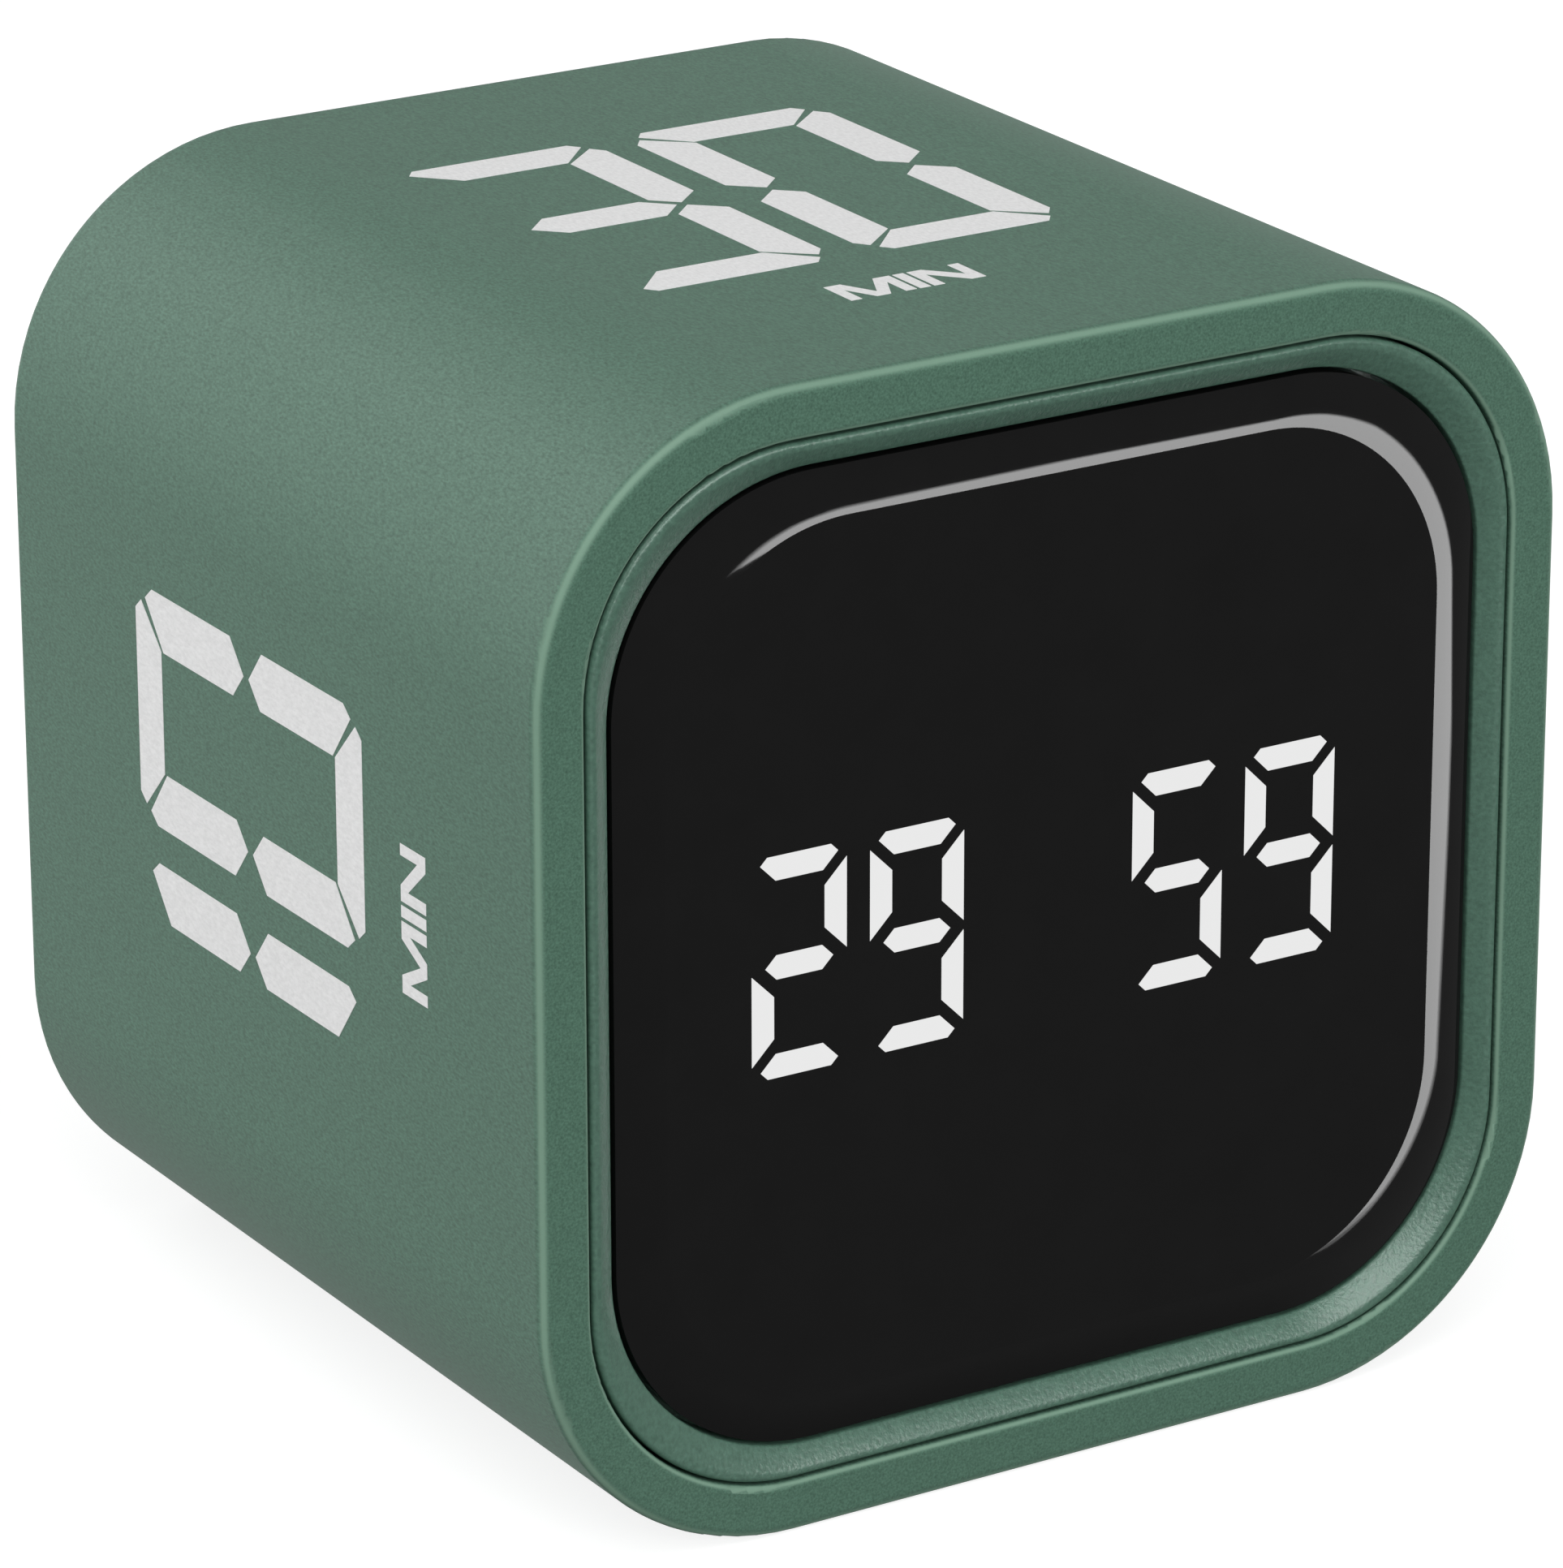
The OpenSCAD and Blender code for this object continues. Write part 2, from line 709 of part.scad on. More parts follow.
// A flat cable that leaves both sockets straight and bows down between them
module ribbon_cable() {
    start = board_back + ribbon_socket_h - ribbon_depth;
    finish = control_front - ribbon_socket_h + ribbon_depth;
    free = [board_back + ribbon_socket_h, control_front - ribbon_socket_h];
    middle = [
        for (k = [0:ribbon_steps]) let (t = k / ribbon_steps)
            [free[0] + t * (free[1] - free[0]), -ribbon_bow * (1 - cos(360 * t)) / 2]
    ];
    line = concat([[start, 0]], middle, [[finish, 0]]);
    lower = [for (p = line) [p[0], p[1] - ribbon_t / 2]];
    upper = [for (k = [len(line) - 1:-1:0]) [line[k][0], line[k][1] + ribbon_t / 2]];
    color("#dcd9cf") translate([ribbon_x - ribbon_w / 2, -body_d / 2, body_h / 2 + ribbon_z])
        rotate([90, 0, 90]) linear_extrude(ribbon_w) polygon(concat(lower, upper));
}

// Edge of the rear cover with its rounded outer corner
module cover_section() {
    difference() {
        translate([cover_r - cover_edge, rear_recess]) square([cover_edge, cover_t]);
        translate([cover_r, rear_recess]) corner_waste(cover_round, -1, 1);
    }
}

module rear_cover() {
    color(body_green) difference() {
        union() {
            from_rear() swept_frame(cover_w, cover_h, cover_r) cover_section();
            slab(cover_front, cover_back)
                rounded_rect(cover_w - cover_edge, cover_h - cover_edge, cover_r - cover_edge / 2);
            slab(control_back, cover_front + 0.5)
                mirrored_four(control_hole_x, control_hole_z) circle(post_r);
        }
        slab(cover_front - 1, cover_back + 1) {
            mirrored_four(boss_x, boss_z) circle(screw_r + screw_gap);
            for (x = button_places) at(x, button_z) circle(button_r + button_gap);
            at(switch_x, switch_z)
                square([knob_l + 2 * (knob_travel + knob_gap), knob_w + 2 * knob_gap], center = true);
            at(0, usb_z) stadium(usb_w + 2 * usb_room, usb_t + 2 * usb_room);
            at(buzzer_x, buzzer_z) circle(sound_hole_r);
            for (k = [1:sound_holes]) at(buzzer_x, buzzer_z) rotate(360 * k / sound_holes)
                translate([sound_ring_r, 0]) circle(sound_hole_r);
        }
        slab(cover_back - head_sink, cover_back + 1)
            mirrored_four(boss_x, boss_z) circle(screw_head_r + head_gap);
        slab(control_back - 1, control_back + control_pilot_l) mirrored_four(control_hole_x, control_hole_z)
            circle(small_screw_r + pilot_gap);
    }
}

module rear_cover_screws() {
    color(metal) mirrored_places(boss_x, boss_z, cover_back - head_sink) rotate([180, 0, 0])
        screw(screw_r, screw_l, screw_head_r, screw_head_h);
}

module control_board() {
    color(board_green) slab(control_front, control_back) difference() {
        rounded_rect(control_w, control_h, control_r);
        mirrored_four(boss_x, boss_z) circle(boss_r + board_gap);
        mirrored_four(control_hole_x, control_hole_z) circle(small_screw_r + screw_gap);
    }
}

module control_board_screws() {
    color(metal) mirrored_places(control_hole_x, control_hole_z, control_front)
        screw(small_screw_r, control_screw_l, small_head_r, small_head_h);
}

// Three square switches, each with a well for its plunger
module tact_switches() {
    color(part_black) for (x = button_places) rearward(x, button_z, control_back) difference() {
        translate([-tact_w / 2, -tact_w / 2, 0]) cube([tact_w, tact_w, tact_h]);
        translate([0, 0, plunger_base - button_travel - 0.2])
            cylinder(r = plunger_r + plunger_gap, h = tact_h);
    }
}

module plunger(x) {
    color("#d8d4c6") rearward(x, button_z, control_back + plunger_base)
        cylinder(r = plunger_r, h = button_stem_front - control_back - plunger_base);
}

// A round cap with a dished top, a flange that keeps it in, and a stem over its switch
module button(x) {
    cap_h = cover_back + button_proud - button_stem_front;
    flange_z = button_flange_front - button_stem_front;
    dish_r = (button_r * button_r + button_dish * button_dish) / (2 * button_dish);
    color(body_green) rearward(x, button_z, button_stem_front) rotate_extrude() difference() {
        union() {
            square([button_stem_r, flange_z + 0.1]);
            translate([0, flange_z]) square([button_r + button_flange_w, button_flange_t]);
            translate([0, flange_z]) square([button_r, cap_h - flange_z]);
        }
        translate([button_r, cap_h]) corner_waste(button_edge_r, -1, -1);
        translate([0, cap_h - button_dish + dish_r]) circle(dish_r, $fn = 200);
    }
}

module mode_switch_case() {
    foot_room = lever_foot_l + 2 * (knob_travel + lever_gap);
    neck_room = lever_w + 2 * (knob_travel + lever_gap);
    foot_w = case_w - 2 * case_wall;
    color(metal) rearward(switch_x, switch_z, control_back) difference() {
        translate([-case_l / 2, -case_w / 2, 0]) cube([case_l, case_w, case_h]);
        translate([-foot_room / 2, -foot_w / 2, case_wall])
            cube([foot_room, foot_w, lever_foot_h + 2 * lever_gap]);
        translate([-neck_room / 2, -lever_w / 2 - lever_gap, case_wall])
            cube([neck_room, lever_w + 2 * lever_gap, case_h]);
    }
}

module mode_switch_lever() {
    foot_w = case_w - 2 * (case_wall + lever_gap);
    lever_h = lever_back - control_back - case_wall - lever_gap;
    color(part_black) rearward(switch_x, switch_z, control_back + case_wall + lever_gap) {
        translate([-lever_foot_l / 2, -foot_w / 2, 0]) cube([lever_foot_l, foot_w, lever_foot_h]);
        translate([-lever_w / 2, -lever_w / 2, 0]) cube([lever_w, lever_w, lever_h]);
    }
}

// Thumb piece with grip grooves, a flange behind the cover and a socket over the lever
module mode_knob() {
    flange_l = knob_l + 4 * knob_travel + 2 * knob_flange_lip;
    flange_w = knob_w + 2 * knob_flange_lip;
    socket_w = lever_w + 2 * lever_gap;
    knob_h = knob_back - knob_flange_front;
    socket_h = lever_back - knob_flange_front;
    color(part_black) rearward(switch_x, switch_z, knob_flange_front) difference() {
        union() {
            translate([-flange_l / 2, -flange_w / 2, 0]) cube([flange_l, flange_w, knob_flange_t]);
            linear_extrude(knob_h) rounded_rect(knob_l, knob_w, knob_edge_r);
        }
        translate([-socket_w / 2, -socket_w / 2, -1]) cube([socket_w, socket_w, socket_h + 1]);
        for (k = [1:knob_grips]) {
            grip_x = (k - (knob_grips + 1) / 2) * 2 * knob_grip_w;
            translate([grip_x - knob_grip_w / 2, -knob_w, knob_h - knob_grip_depth])
                cube([knob_grip_w, 2 * knob_w, 1]);
        }
    }
}

module usb_socket() {
    mouth = cover_back - usb_mouth_depth;
    color(metal) difference() {
        slab(control_back, mouth) at(0, usb_z) stadium(usb_w, usb_t);
        slab(control_back + usb_floor, mouth + 1) at(0, usb_z)
            stadium(usb_w - 2 * usb_wall, usb_t - 2 * usb_wall);
    }
}

module usb_tongue() {
    mouth = cover_back - usb_mouth_depth;
    color(part_black) slab(control_back + usb_floor, mouth - usb_tongue_short) at(0, usb_z)
        square([usb_tongue_w, usb_tongue_t], center = true);
}

module charger_chip() {
    color(part_black) rearward(charger_x, charger_z, control_back)
        chip(charger_l, charger_w, charger_t, charger_legs, charger_pitch, 2);
}

module buzzer() {
    color(part_black) rearward(buzzer_x, buzzer_z, control_back) difference() {
        rotate_extrude() difference() {
            square([buzzer_r, buzzer_h]);
            translate([buzzer_r, buzzer_h]) corner_waste(0.4, -1, -1);
        }
        translate([0, 0, buzzer_h / 2]) cylinder(r = buzzer_mouth_r, h = buzzer_h);
    }
}

// Soft pouch cell with round sides
module battery_pouch() {
    middle = (battery_front + battery_back) / 2;
    color("#b9bcc0") translate([0, middle - body_d / 2, body_h / 2 + battery_z - battery_h / 2])
        linear_extrude(battery_h) rounded_rect(battery_w, battery_t, battery_edge_r);
}

// Protection board along the pouch's lower end
module battery_guard_board() {
    color(board_green) slab(battery_front + guard_inset / 2, battery_back - guard_inset / 2)
        at(0, guard_bottom + guard_t / 2) square([battery_w - 2 * guard_inset, guard_t], center = true);
}

module battery_pad() {
    color("#2c2c2c") slab(battery_back, control_front) at(0, battery_z)
        rounded_rect(battery_w - 2 * pad_inset, battery_h - 2 * pad_inset, 1);
}

// Two wires from the protection board, turning back into the plug
module battery_leads() {
    turn_depth = plug_front - lead_out;
    guard_depth = (battery_front + battery_back) / 2;
    for (s = [-1, 1]) color(s < 0 ? "#b3262a" : "#1c1c1c")
        translate([plug_x + s * lead_pitch / 2, turn_depth - body_d / 2, body_h / 2 + plug_z]) {
            rotate([-90, 0, 0]) cylinder(r = lead_r, h = lead_out);
            translate([0, 0, 2 * lead_turn_r]) rotate([-90, 0, 0])
                cylinder(r = lead_r, h = guard_depth - turn_depth);
            translate([0, 0, lead_turn_r]) rotate([180, -90, 0])
                rotate_extrude(angle = 180) translate([lead_turn_r, 0]) circle(lead_r, $fn = 24);
        }
}

module battery_plug() {
    nose_step = socket_wall + plug_room;
    color("#efece2") {
        slab(plug_front, socket_front) at(plug_x, plug_z) square([plug_w, plug_h], center = true);
        slab(socket_front - 0.5, socket_front + plug_nose_l) at(plug_x, plug_z)
            square([plug_w - 2 * nose_step, plug_h - 2 * nose_step], center = true);
    }
}

module battery_socket() {
    color("#efece2") difference() {
        slab(socket_front, control_front) at(plug_x, plug_z) square([plug_w, plug_h], center = true);
        slab(socket_front - 1, control_front - socket_floor) at(plug_x, plug_z)
            square([plug_w - 2 * socket_wall, plug_h - 2 * socket_wall], center = true);
    }
}

shell();
front_bezel();
lens_tape();
lens();
display_reflector();
light_bars();
display_leds();
display_board();
display_board_screws();
microcontroller();
led_driver();
gravity_sensor();
clock_crystal();
display_capacitors();
ribbon_sockets();
ribbon_cable();
rear_cover();
rear_cover_screws();
control_board();
control_board_screws();
tact_switches();
button(button_places[2]);  // minute_button
plunger(button_places[2]);  // minute_plunger
button(button_places[1]);  // second_button
plunger(button_places[1]);  // second_plunger
button(button_places[0]);  // start_button
plunger(button_places[0]);  // start_plunger
mode_switch_case();
mode_switch_lever();
mode_knob();
usb_socket();
usb_tongue();
charger_chip();
buzzer();
battery_pouch();
battery_guard_board();
battery_pad();
battery_leads();
battery_plug();
battery_socket();
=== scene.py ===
"""Looks of the digital cube timer: its window, bezel, lit digits, printed times, finishes and stage."""

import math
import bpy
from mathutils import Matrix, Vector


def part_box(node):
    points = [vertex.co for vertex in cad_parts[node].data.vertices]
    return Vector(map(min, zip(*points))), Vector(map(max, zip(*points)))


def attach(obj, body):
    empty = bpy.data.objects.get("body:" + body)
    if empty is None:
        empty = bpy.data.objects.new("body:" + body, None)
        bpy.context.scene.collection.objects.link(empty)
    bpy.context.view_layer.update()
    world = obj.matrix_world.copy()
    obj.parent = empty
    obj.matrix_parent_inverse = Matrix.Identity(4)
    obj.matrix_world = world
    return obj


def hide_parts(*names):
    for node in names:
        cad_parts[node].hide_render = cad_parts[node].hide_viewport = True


bl_info = {
    "name": "Digital Cube Timer",
    "version": (1, 0, 0),
    "blender": (4, 5, 0),
    "location": "View3D > Sidebar > Cube Timer",
    "description": "Dresses the packed cube timer with its window, digits, printed times and finishes",
    "category": "Object",
}

import bmesh
import bpy
from bpy.props import FloatProperty, FloatVectorProperty, PointerProperty
from mathutils import Matrix, Vector

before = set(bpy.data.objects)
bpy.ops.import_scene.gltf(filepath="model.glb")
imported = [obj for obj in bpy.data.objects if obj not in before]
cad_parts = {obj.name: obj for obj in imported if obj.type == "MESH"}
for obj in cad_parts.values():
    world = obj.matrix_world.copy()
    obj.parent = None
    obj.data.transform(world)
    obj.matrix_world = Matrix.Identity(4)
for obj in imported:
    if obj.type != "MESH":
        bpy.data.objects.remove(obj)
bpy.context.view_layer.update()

MM = 0.001
SHELL_LOW, SHELL_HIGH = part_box("shell")
WINDOW_LOW, WINDOW_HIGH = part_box("lens")
BEZEL_LOW, BEZEL_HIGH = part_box("front_bezel")
FRONT_Y = SHELL_LOW.y
MIDDLE = (SHELL_LOW + SHELL_HIGH) / 2
CORNER_STEPS = 32
# How far a point may lie from an outline's level and from its line and still belong to it, in metres
LEVEL_TOLERANCE = 1e-6
LINE_TOLERANCE = 2e-6
# How close to a trimming plane a point counts as lying on it, in metres
TRIM_TOLERANCE = 1e-7


def linear(hex_colour):
    """An sRGB hex colour as linear values."""
    parts = [int(hex_colour[i:i + 2], 16) / 255 for i in (1, 3, 5)]
    return tuple(c / 12.92 if c <= 0.04045 else ((c + 0.055) / 1.055) ** 2.4 for c in parts)


# Settings that a user would change


def length(name, description, millimetres):
    """A length that the panel shows."""
    return FloatProperty(name=name, description=description, default=millimetres * MM, unit="LENGTH")


def colour(name, description, hex_colour):
    """A colour that the panel shows."""
    return FloatVectorProperty(
        name=name, description=description, default=linear(hex_colour), subtype="COLOR"
    )


class CubeTimerSizes(bpy.types.PropertyGroup):
    """Sizes of the modelled pieces."""

    window_corner: length("Window corner", "Corner radius of the window", 11.25)
    window_edge: length("Window edge", "Thickness of the window at its edge", 1.5)
    band_side: length("Band at the sides", "Width of the falling band at the sides", 2.6)
    band_top: length("Band at the top", "Width of the falling band at the top and bottom", 2.4)
    flat_corner: length("Flat corner", "Corner radius of the window's flat middle", 10.5)
    bezel_corner: length("Bezel corner", "Corner radius of the bezel's outside", 11.55)
    bezel_seat: length("Bezel seat", "Depth of the bezel's back behind the rim", 4.0)
    bezel_round: length("Bezel rounding", "Rounding of the bezel along the seam", 0.35)
    bezel_lip: length("Bezel lip", "Width of the bezel's lip between the seam and the slope", 0.45)
    pocket_gap: length("Pocket gap", "Gap round the window in its pocket", 0.25)
    digit_width: length("Digit width", "Width of a lit digit", 5.45)
    digit_height: length("Digit height", "Height of a lit digit", 11.6)
    digit_pitch: length("Digit pitch", "Distance between the digits of a pair", 6.8)
    pair_gap: length("Pair gap", "Clear space between the pairs of digits", 10)
    bar_width: length("Bar width", "Width of a lit bar", 1.27)
    mark_width: length("Mark width", "Width of a printed figure", 11.85)
    mark_height: length("Mark height", "Height of a printed figure", 24.86)
    mark_pitch: length("Mark pitch", "Distance between two printed figures", 13.75)
    mark_stroke: length("Mark stroke", "Width of a printed bar", 2.85)
    ink_thickness: length("Ink thickness", "Thickness of the printed ink", 0.02)


class CubeTimerColours(bpy.types.PropertyGroup):
    """Colours of the finishes."""

    paint: colour("Paint", "Soft-touch paint of the body", "#4f6f5f")
    # Edges: the colour of the painted highlight along the front edges, not a paint of its own
    edges: colour("Edges", "Paint over the front edges", "#7c9c89")
    bezel: colour("Bezel", "Moulded bezel round the window", "#4c6c5d")
    digits: colour("Digits", "Light of the digits", "#e9e9e9")
    ink: colour("Ink", "Printed ink of the times", "#eeeeee")


# Modelling


def begin():
    """Leaves edit mode and deselects everything."""
    if bpy.context.object and bpy.context.object.mode != "OBJECT":
        bpy.ops.object.mode_set(mode="OBJECT")
    bpy.ops.object.select_all(action="DESELECT")


def settle(piece, name, matrix=None):
    """Names a piece and moves its place into its mesh."""
    begin()
    piece.select_set(True)
    bpy.context.view_layer.objects.active = piece
    piece.name = name
    piece.data.name = name
    if matrix is not None:
        piece.matrix_world = matrix @ piece.matrix_world
    bpy.ops.object.transform_apply(location=True, rotation=True, scale=True)
    return piece


def join(pieces):
    """Joins pieces into the first one."""
    begin()
    for piece in pieces:
        piece.select_set(True)
    bpy.context.view_layer.objects.active = pieces[0]
    if len(pieces) > 1:
        bpy.ops.object.join()
    return pieces[0]


def facing_front(depth):
    """Places a flat piece made in x and y on the front, at a depth behind the rim."""
    turn = Matrix.Rotation(math.radians(90), 4, "X")
    return Matrix.Translation((MIDDLE.x, FRONT_Y + depth, MIDDLE.z)) @ turn


def add_outline(width, height, corner, level):
    """Adds a rounded rectangle at a level to the mesh that is being edited, and leaves it selected."""
    bpy.ops.mesh.select_all(action="DESELECT")
    bpy.ops.mesh.primitive_plane_add(size=1, location=(0, 0, level))
    bpy.ops.transform.resize(value=(width, height, 1), center_override=(0, 0, level))
    bpy.ops.mesh.bevel(affect="VERTICES", offset=corner, segments=CORNER_STEPS, profile=0.5)


def on_outline(point, width, height, corner, level):
    """Whether a point lies on a rounded rectangle."""
    across = abs(point.x) - (width / 2 - corner)
    along = abs(point.y) - (height / 2 - corner)
    reach = math.hypot(max(across, 0), max(along, 0)) + min(max(across, along), 0)
    return abs(point.z - level) < LEVEL_TOLERANCE and abs(reach - corner) < LINE_TOLERANCE


def select_outlines(piece, *outlines):
    """Selects the edges of the given outlines."""
    mesh = bmesh.from_edit_mesh(piece.data)
    for element in (*mesh.verts, *mesh.edges, *mesh.faces):
        element.select = False
    for outline in outlines:
        for edge in mesh.edges:
            if all(on_outline(v.co, *outline) for v in edge.verts):
                edge.select_set(True)
    bmesh.update_edit_mesh(piece.data)


def lofted(outlines, closed):
    """A new mesh with walls from each outline to the next, left in edit mode."""
    begin()
    bpy.ops.mesh.primitive_plane_add(size=1)
    piece = bpy.context.object
    bpy.ops.object.mode_set(mode="EDIT")
    bpy.ops.mesh.select_mode(type="EDGE")
    bpy.ops.mesh.select_all(action="SELECT")
    bpy.ops.mesh.delete(type="VERT")
    for outline in outlines:
        add_outline(*outline)
        bpy.ops.mesh.delete(type="ONLY_FACE")
    following = outlines[1:] + outlines[:1] if closed else outlines[1:]
    for first, second in zip(outlines, following):
        select_outlines(piece, first, second)
        bpy.ops.mesh.bridge_edge_loops()
    return piece


def trimmed_sheet(corners):
    """A flat sheet trimmed along each side of a convex outline, left selected in edit mode."""
    wide_enough = 4 * max(abs(c) for corner in corners for c in corner)
    begin()
    bpy.ops.mesh.primitive_plane_add(size=wide_enough)
    bpy.ops.object.mode_set(mode="EDIT")
    for start, end in zip(corners, corners[1:] + corners[:1]):
        outward = (end[1] - start[1], start[0] - end[0], 0)
        bpy.ops.mesh.select_all(action="SELECT")
        bpy.ops.mesh.bisect(
            plane_co=(*start, 0), plane_no=outward, clear_outer=True, threshold=TRIM_TOLERANCE
        )
    bpy.ops.mesh.select_all(action="SELECT")
    return bpy.context.object


def trimmed_bar(corners, thickness):
    """A thin bar with a convex outline."""
    bar = trimmed_sheet(corners)
    bpy.ops.mesh.extrude_region_move(TRANSFORM_OT_translate={"value": (0, 0, thickness)})
    bpy.ops.mesh.select_all(action="SELECT")
    bpy.ops.mesh.normals_make_consistent(inside=False)
    bpy.ops.object.mode_set(mode="OBJECT")
    return bar


def copied(pieces):
    """Copies of pieces, each with its own mesh, joined into one."""
    copies = []
    for piece in pieces:
        copy = piece.copy()
        copy.data = piece.data.copy()
        bpy.context.collection.objects.link(copy)
        copies.append(copy)
    return join(copies)


def discard(pieces):
    """Deletes the pieces that were only there to be copied."""
    begin()
    for piece in pieces:
        piece.select_set(True)
    bpy.ops.object.delete()


# The seven bars of a figure are named a to g, clockwise from the top, with g in the middle
FIGURE_BARS = {
    "0": "abcdef", "1": "bc", "2": "abdeg", "3": "abcdg", "5": "acdfg", "6": "acdefg", "9": "abcdfg",
}


def seven_bars(level, upright, middle):
    """Outlines of the seven bars about the figure's middle, from its top, upper right and middle bars."""

    def turned(outline, sx, sy):
        points = [(sx * x, sy * y) for x, y in outline]
        return points if sx * sy > 0 else points[::-1]

    return {
        "a": turned(level, 1, 1), "d": turned(level, 1, -1), "g": middle,
        "b": turned(upright, 1, 1), "c": turned(upright, 1, -1),
        "f": turned(upright, -1, 1), "e": turned(upright, -1, -1),
    }


def lit_bars(sizes):
    """Bars of a lit digit: slanted ends with open corners."""
    half_w = sizes.digit_width / 2
    half_h = sizes.digit_height / 2
    bar = sizes.bar_width
    cut, tip = 0.1 * MM, 0.4 * MM
    corner_space, middle_space, middle_inset = 0.8 * MM, 0.25 * MM, 0.78 * MM
    end = half_w - cut
    level = [
        (-end + 2 * tip, half_h), (-end + tip, half_h - tip), (-end + bar, half_h - bar),
        (end - bar, half_h - bar), (end - tip, half_h - tip), (end - 2 * tip, half_h),
    ]
    upright = [
        (half_w, half_h - corner_space), (half_w - bar, half_h - corner_space - bar),
        (half_w - bar, middle_space + bar), (half_w, middle_space),
    ]
    reach = half_w - middle_inset
    middle = [
        (-reach, 0), (bar / 2 - reach, -bar / 2), (reach - bar / 2, -bar / 2),
        (reach, 0), (reach - bar / 2, bar / 2), (bar / 2 - reach, bar / 2),
    ]
    return seven_bars(level, upright, middle)


def printed_bars(sizes, figure):
    """Bars of a printed figure: close-set, with clipped tips and uprights that end in points."""
    half_w = sizes.mark_width / 2
    half_h = sizes.mark_height / 2
    stroke = sizes.mark_stroke
    # A level bar's outer corners, clipped tips and inner corners, from the figure's sides and top
    outer_in, tip_in, tip_drop, inner_in = 1.3 * MM, 0.8 * MM, 0.65 * MM, 2.85 * MM
    level = [
        (-half_w + outer_in, half_h), (-half_w + tip_in, half_h - tip_drop),
        (-half_w + inner_in, half_h - stroke), (half_w - inner_in, half_h - stroke),
        (half_w - tip_in, half_h - tip_drop), (half_w - outer_in, half_h),
    ]
    # An upright's upper corners, from the figure's side and top, and its lower ones, over the middle
    outer_drop, clip_in, clip_drop, inner_drop = 1.9 * MM, 0.57 * MM, 1.13 * MM, 3.1 * MM
    inner_foot, point_in, point_foot, outer_foot = 1.5 * MM, 1.6 * MM, 0.28 * MM, 1.75 * MM
    upright = [
        (half_w, half_h - outer_drop), (half_w - clip_in, half_h - clip_drop),
        (half_w - stroke, half_h - inner_drop), (half_w - stroke, inner_foot),
        (half_w - point_in, point_foot), (half_w, outer_foot),
    ]
    # The middle bar reaches further out where the figure has no bars on its left
    open_inset, closed_inset = 1.25 * MM, 2.05 * MM
    open_left = not set("ef") & set(FIGURE_BARS[figure])
    left = -half_w + (open_inset if open_left else closed_inset)
    right = half_w - closed_inset
    slope = stroke / 2
    middle = [
        (left, 0), (left + slope, -slope), (right - slope, -slope),
        (right, 0), (right - slope, slope), (left + slope, slope),
    ]
    return seven_bars(level, upright, middle)


# Finishes


def add_node(tree, kind, links=None, values=None, **settings):
    """Adds a node with its settings, socket values and links."""
    node = tree.nodes.new(kind)
    for name, value in settings.items():
        setattr(node, name, value)
    for socket, value in (values or {}).items():
        node.inputs[socket].default_value = value
    for socket, source in (links or {}).items():
        tree.links.new(source, node.inputs[socket])
    return node


WHITE = (1, 1, 1, 1)
# The lower share of the depth draws the grain out from front to back
GRAIN_SHARES = (1, 0.45, 1)
# The most that the paint turns to the colour of its painted edge highlight, and how far on the way to the
# edge's middle, which is at a half, it does so
EDGE_HIGHLIGHT_SHARE = 0.9
EDGE_HIGHLIGHT_FULL = 0.42


def grained(name, base, grain_mm, contrast, roughness, spread, bump_mm, values):
    """A finish with a fine grain in its colour, gloss and surface, drawn out from front to back."""
    material = bpy.data.materials.new(name)
    material.use_nodes = True
    tree = material.node_tree
    tree.nodes.clear()
    place = add_node(tree, "ShaderNodeTexCoord")
    drawn = add_node(
        tree, "ShaderNodeVectorMath", {0: place.outputs["Object"]}, {1: GRAIN_SHARES}, operation="MULTIPLY"
    )
    grain = add_node(
        tree, "ShaderNodeTexNoise", {"Vector": drawn.outputs["Vector"]},
        {"Scale": 1 / (grain_mm * MM), "Detail": 2.0, "Roughness": 0.6},
    )
    dark = [*(c * (1 - contrast) for c in base), 1]
    pale = [*(min(1, c * (1 + contrast)) for c in base), 1]
    tint = add_node(
        tree, "ShaderNodeMix", {"Factor": grain.outputs["Fac"]}, {"A": dark, "B": pale}, data_type="RGBA"
    )
    gloss = add_node(
        tree, "ShaderNodeMapRange", {"Value": grain.outputs["Fac"]},
        {"To Min": roughness - spread, "To Max": roughness + spread},
    )
    links = {"Base Color": tint.outputs["Result"], "Roughness": gloss.outputs["Result"]}
    if bump_mm:
        bump = add_node(
            tree, "ShaderNodeBump", {"Height": grain.outputs["Fac"]},
            {"Distance": bump_mm * MM, "Strength": 1.0},
        )
        links["Normal"] = bump.outputs["Normal"]
    shader = add_node(tree, "ShaderNodeBsdfPrincipled", links, values)
    add_node(tree, "ShaderNodeOutputMaterial", {"Surface": shader.outputs["BSDF"]})
    return material


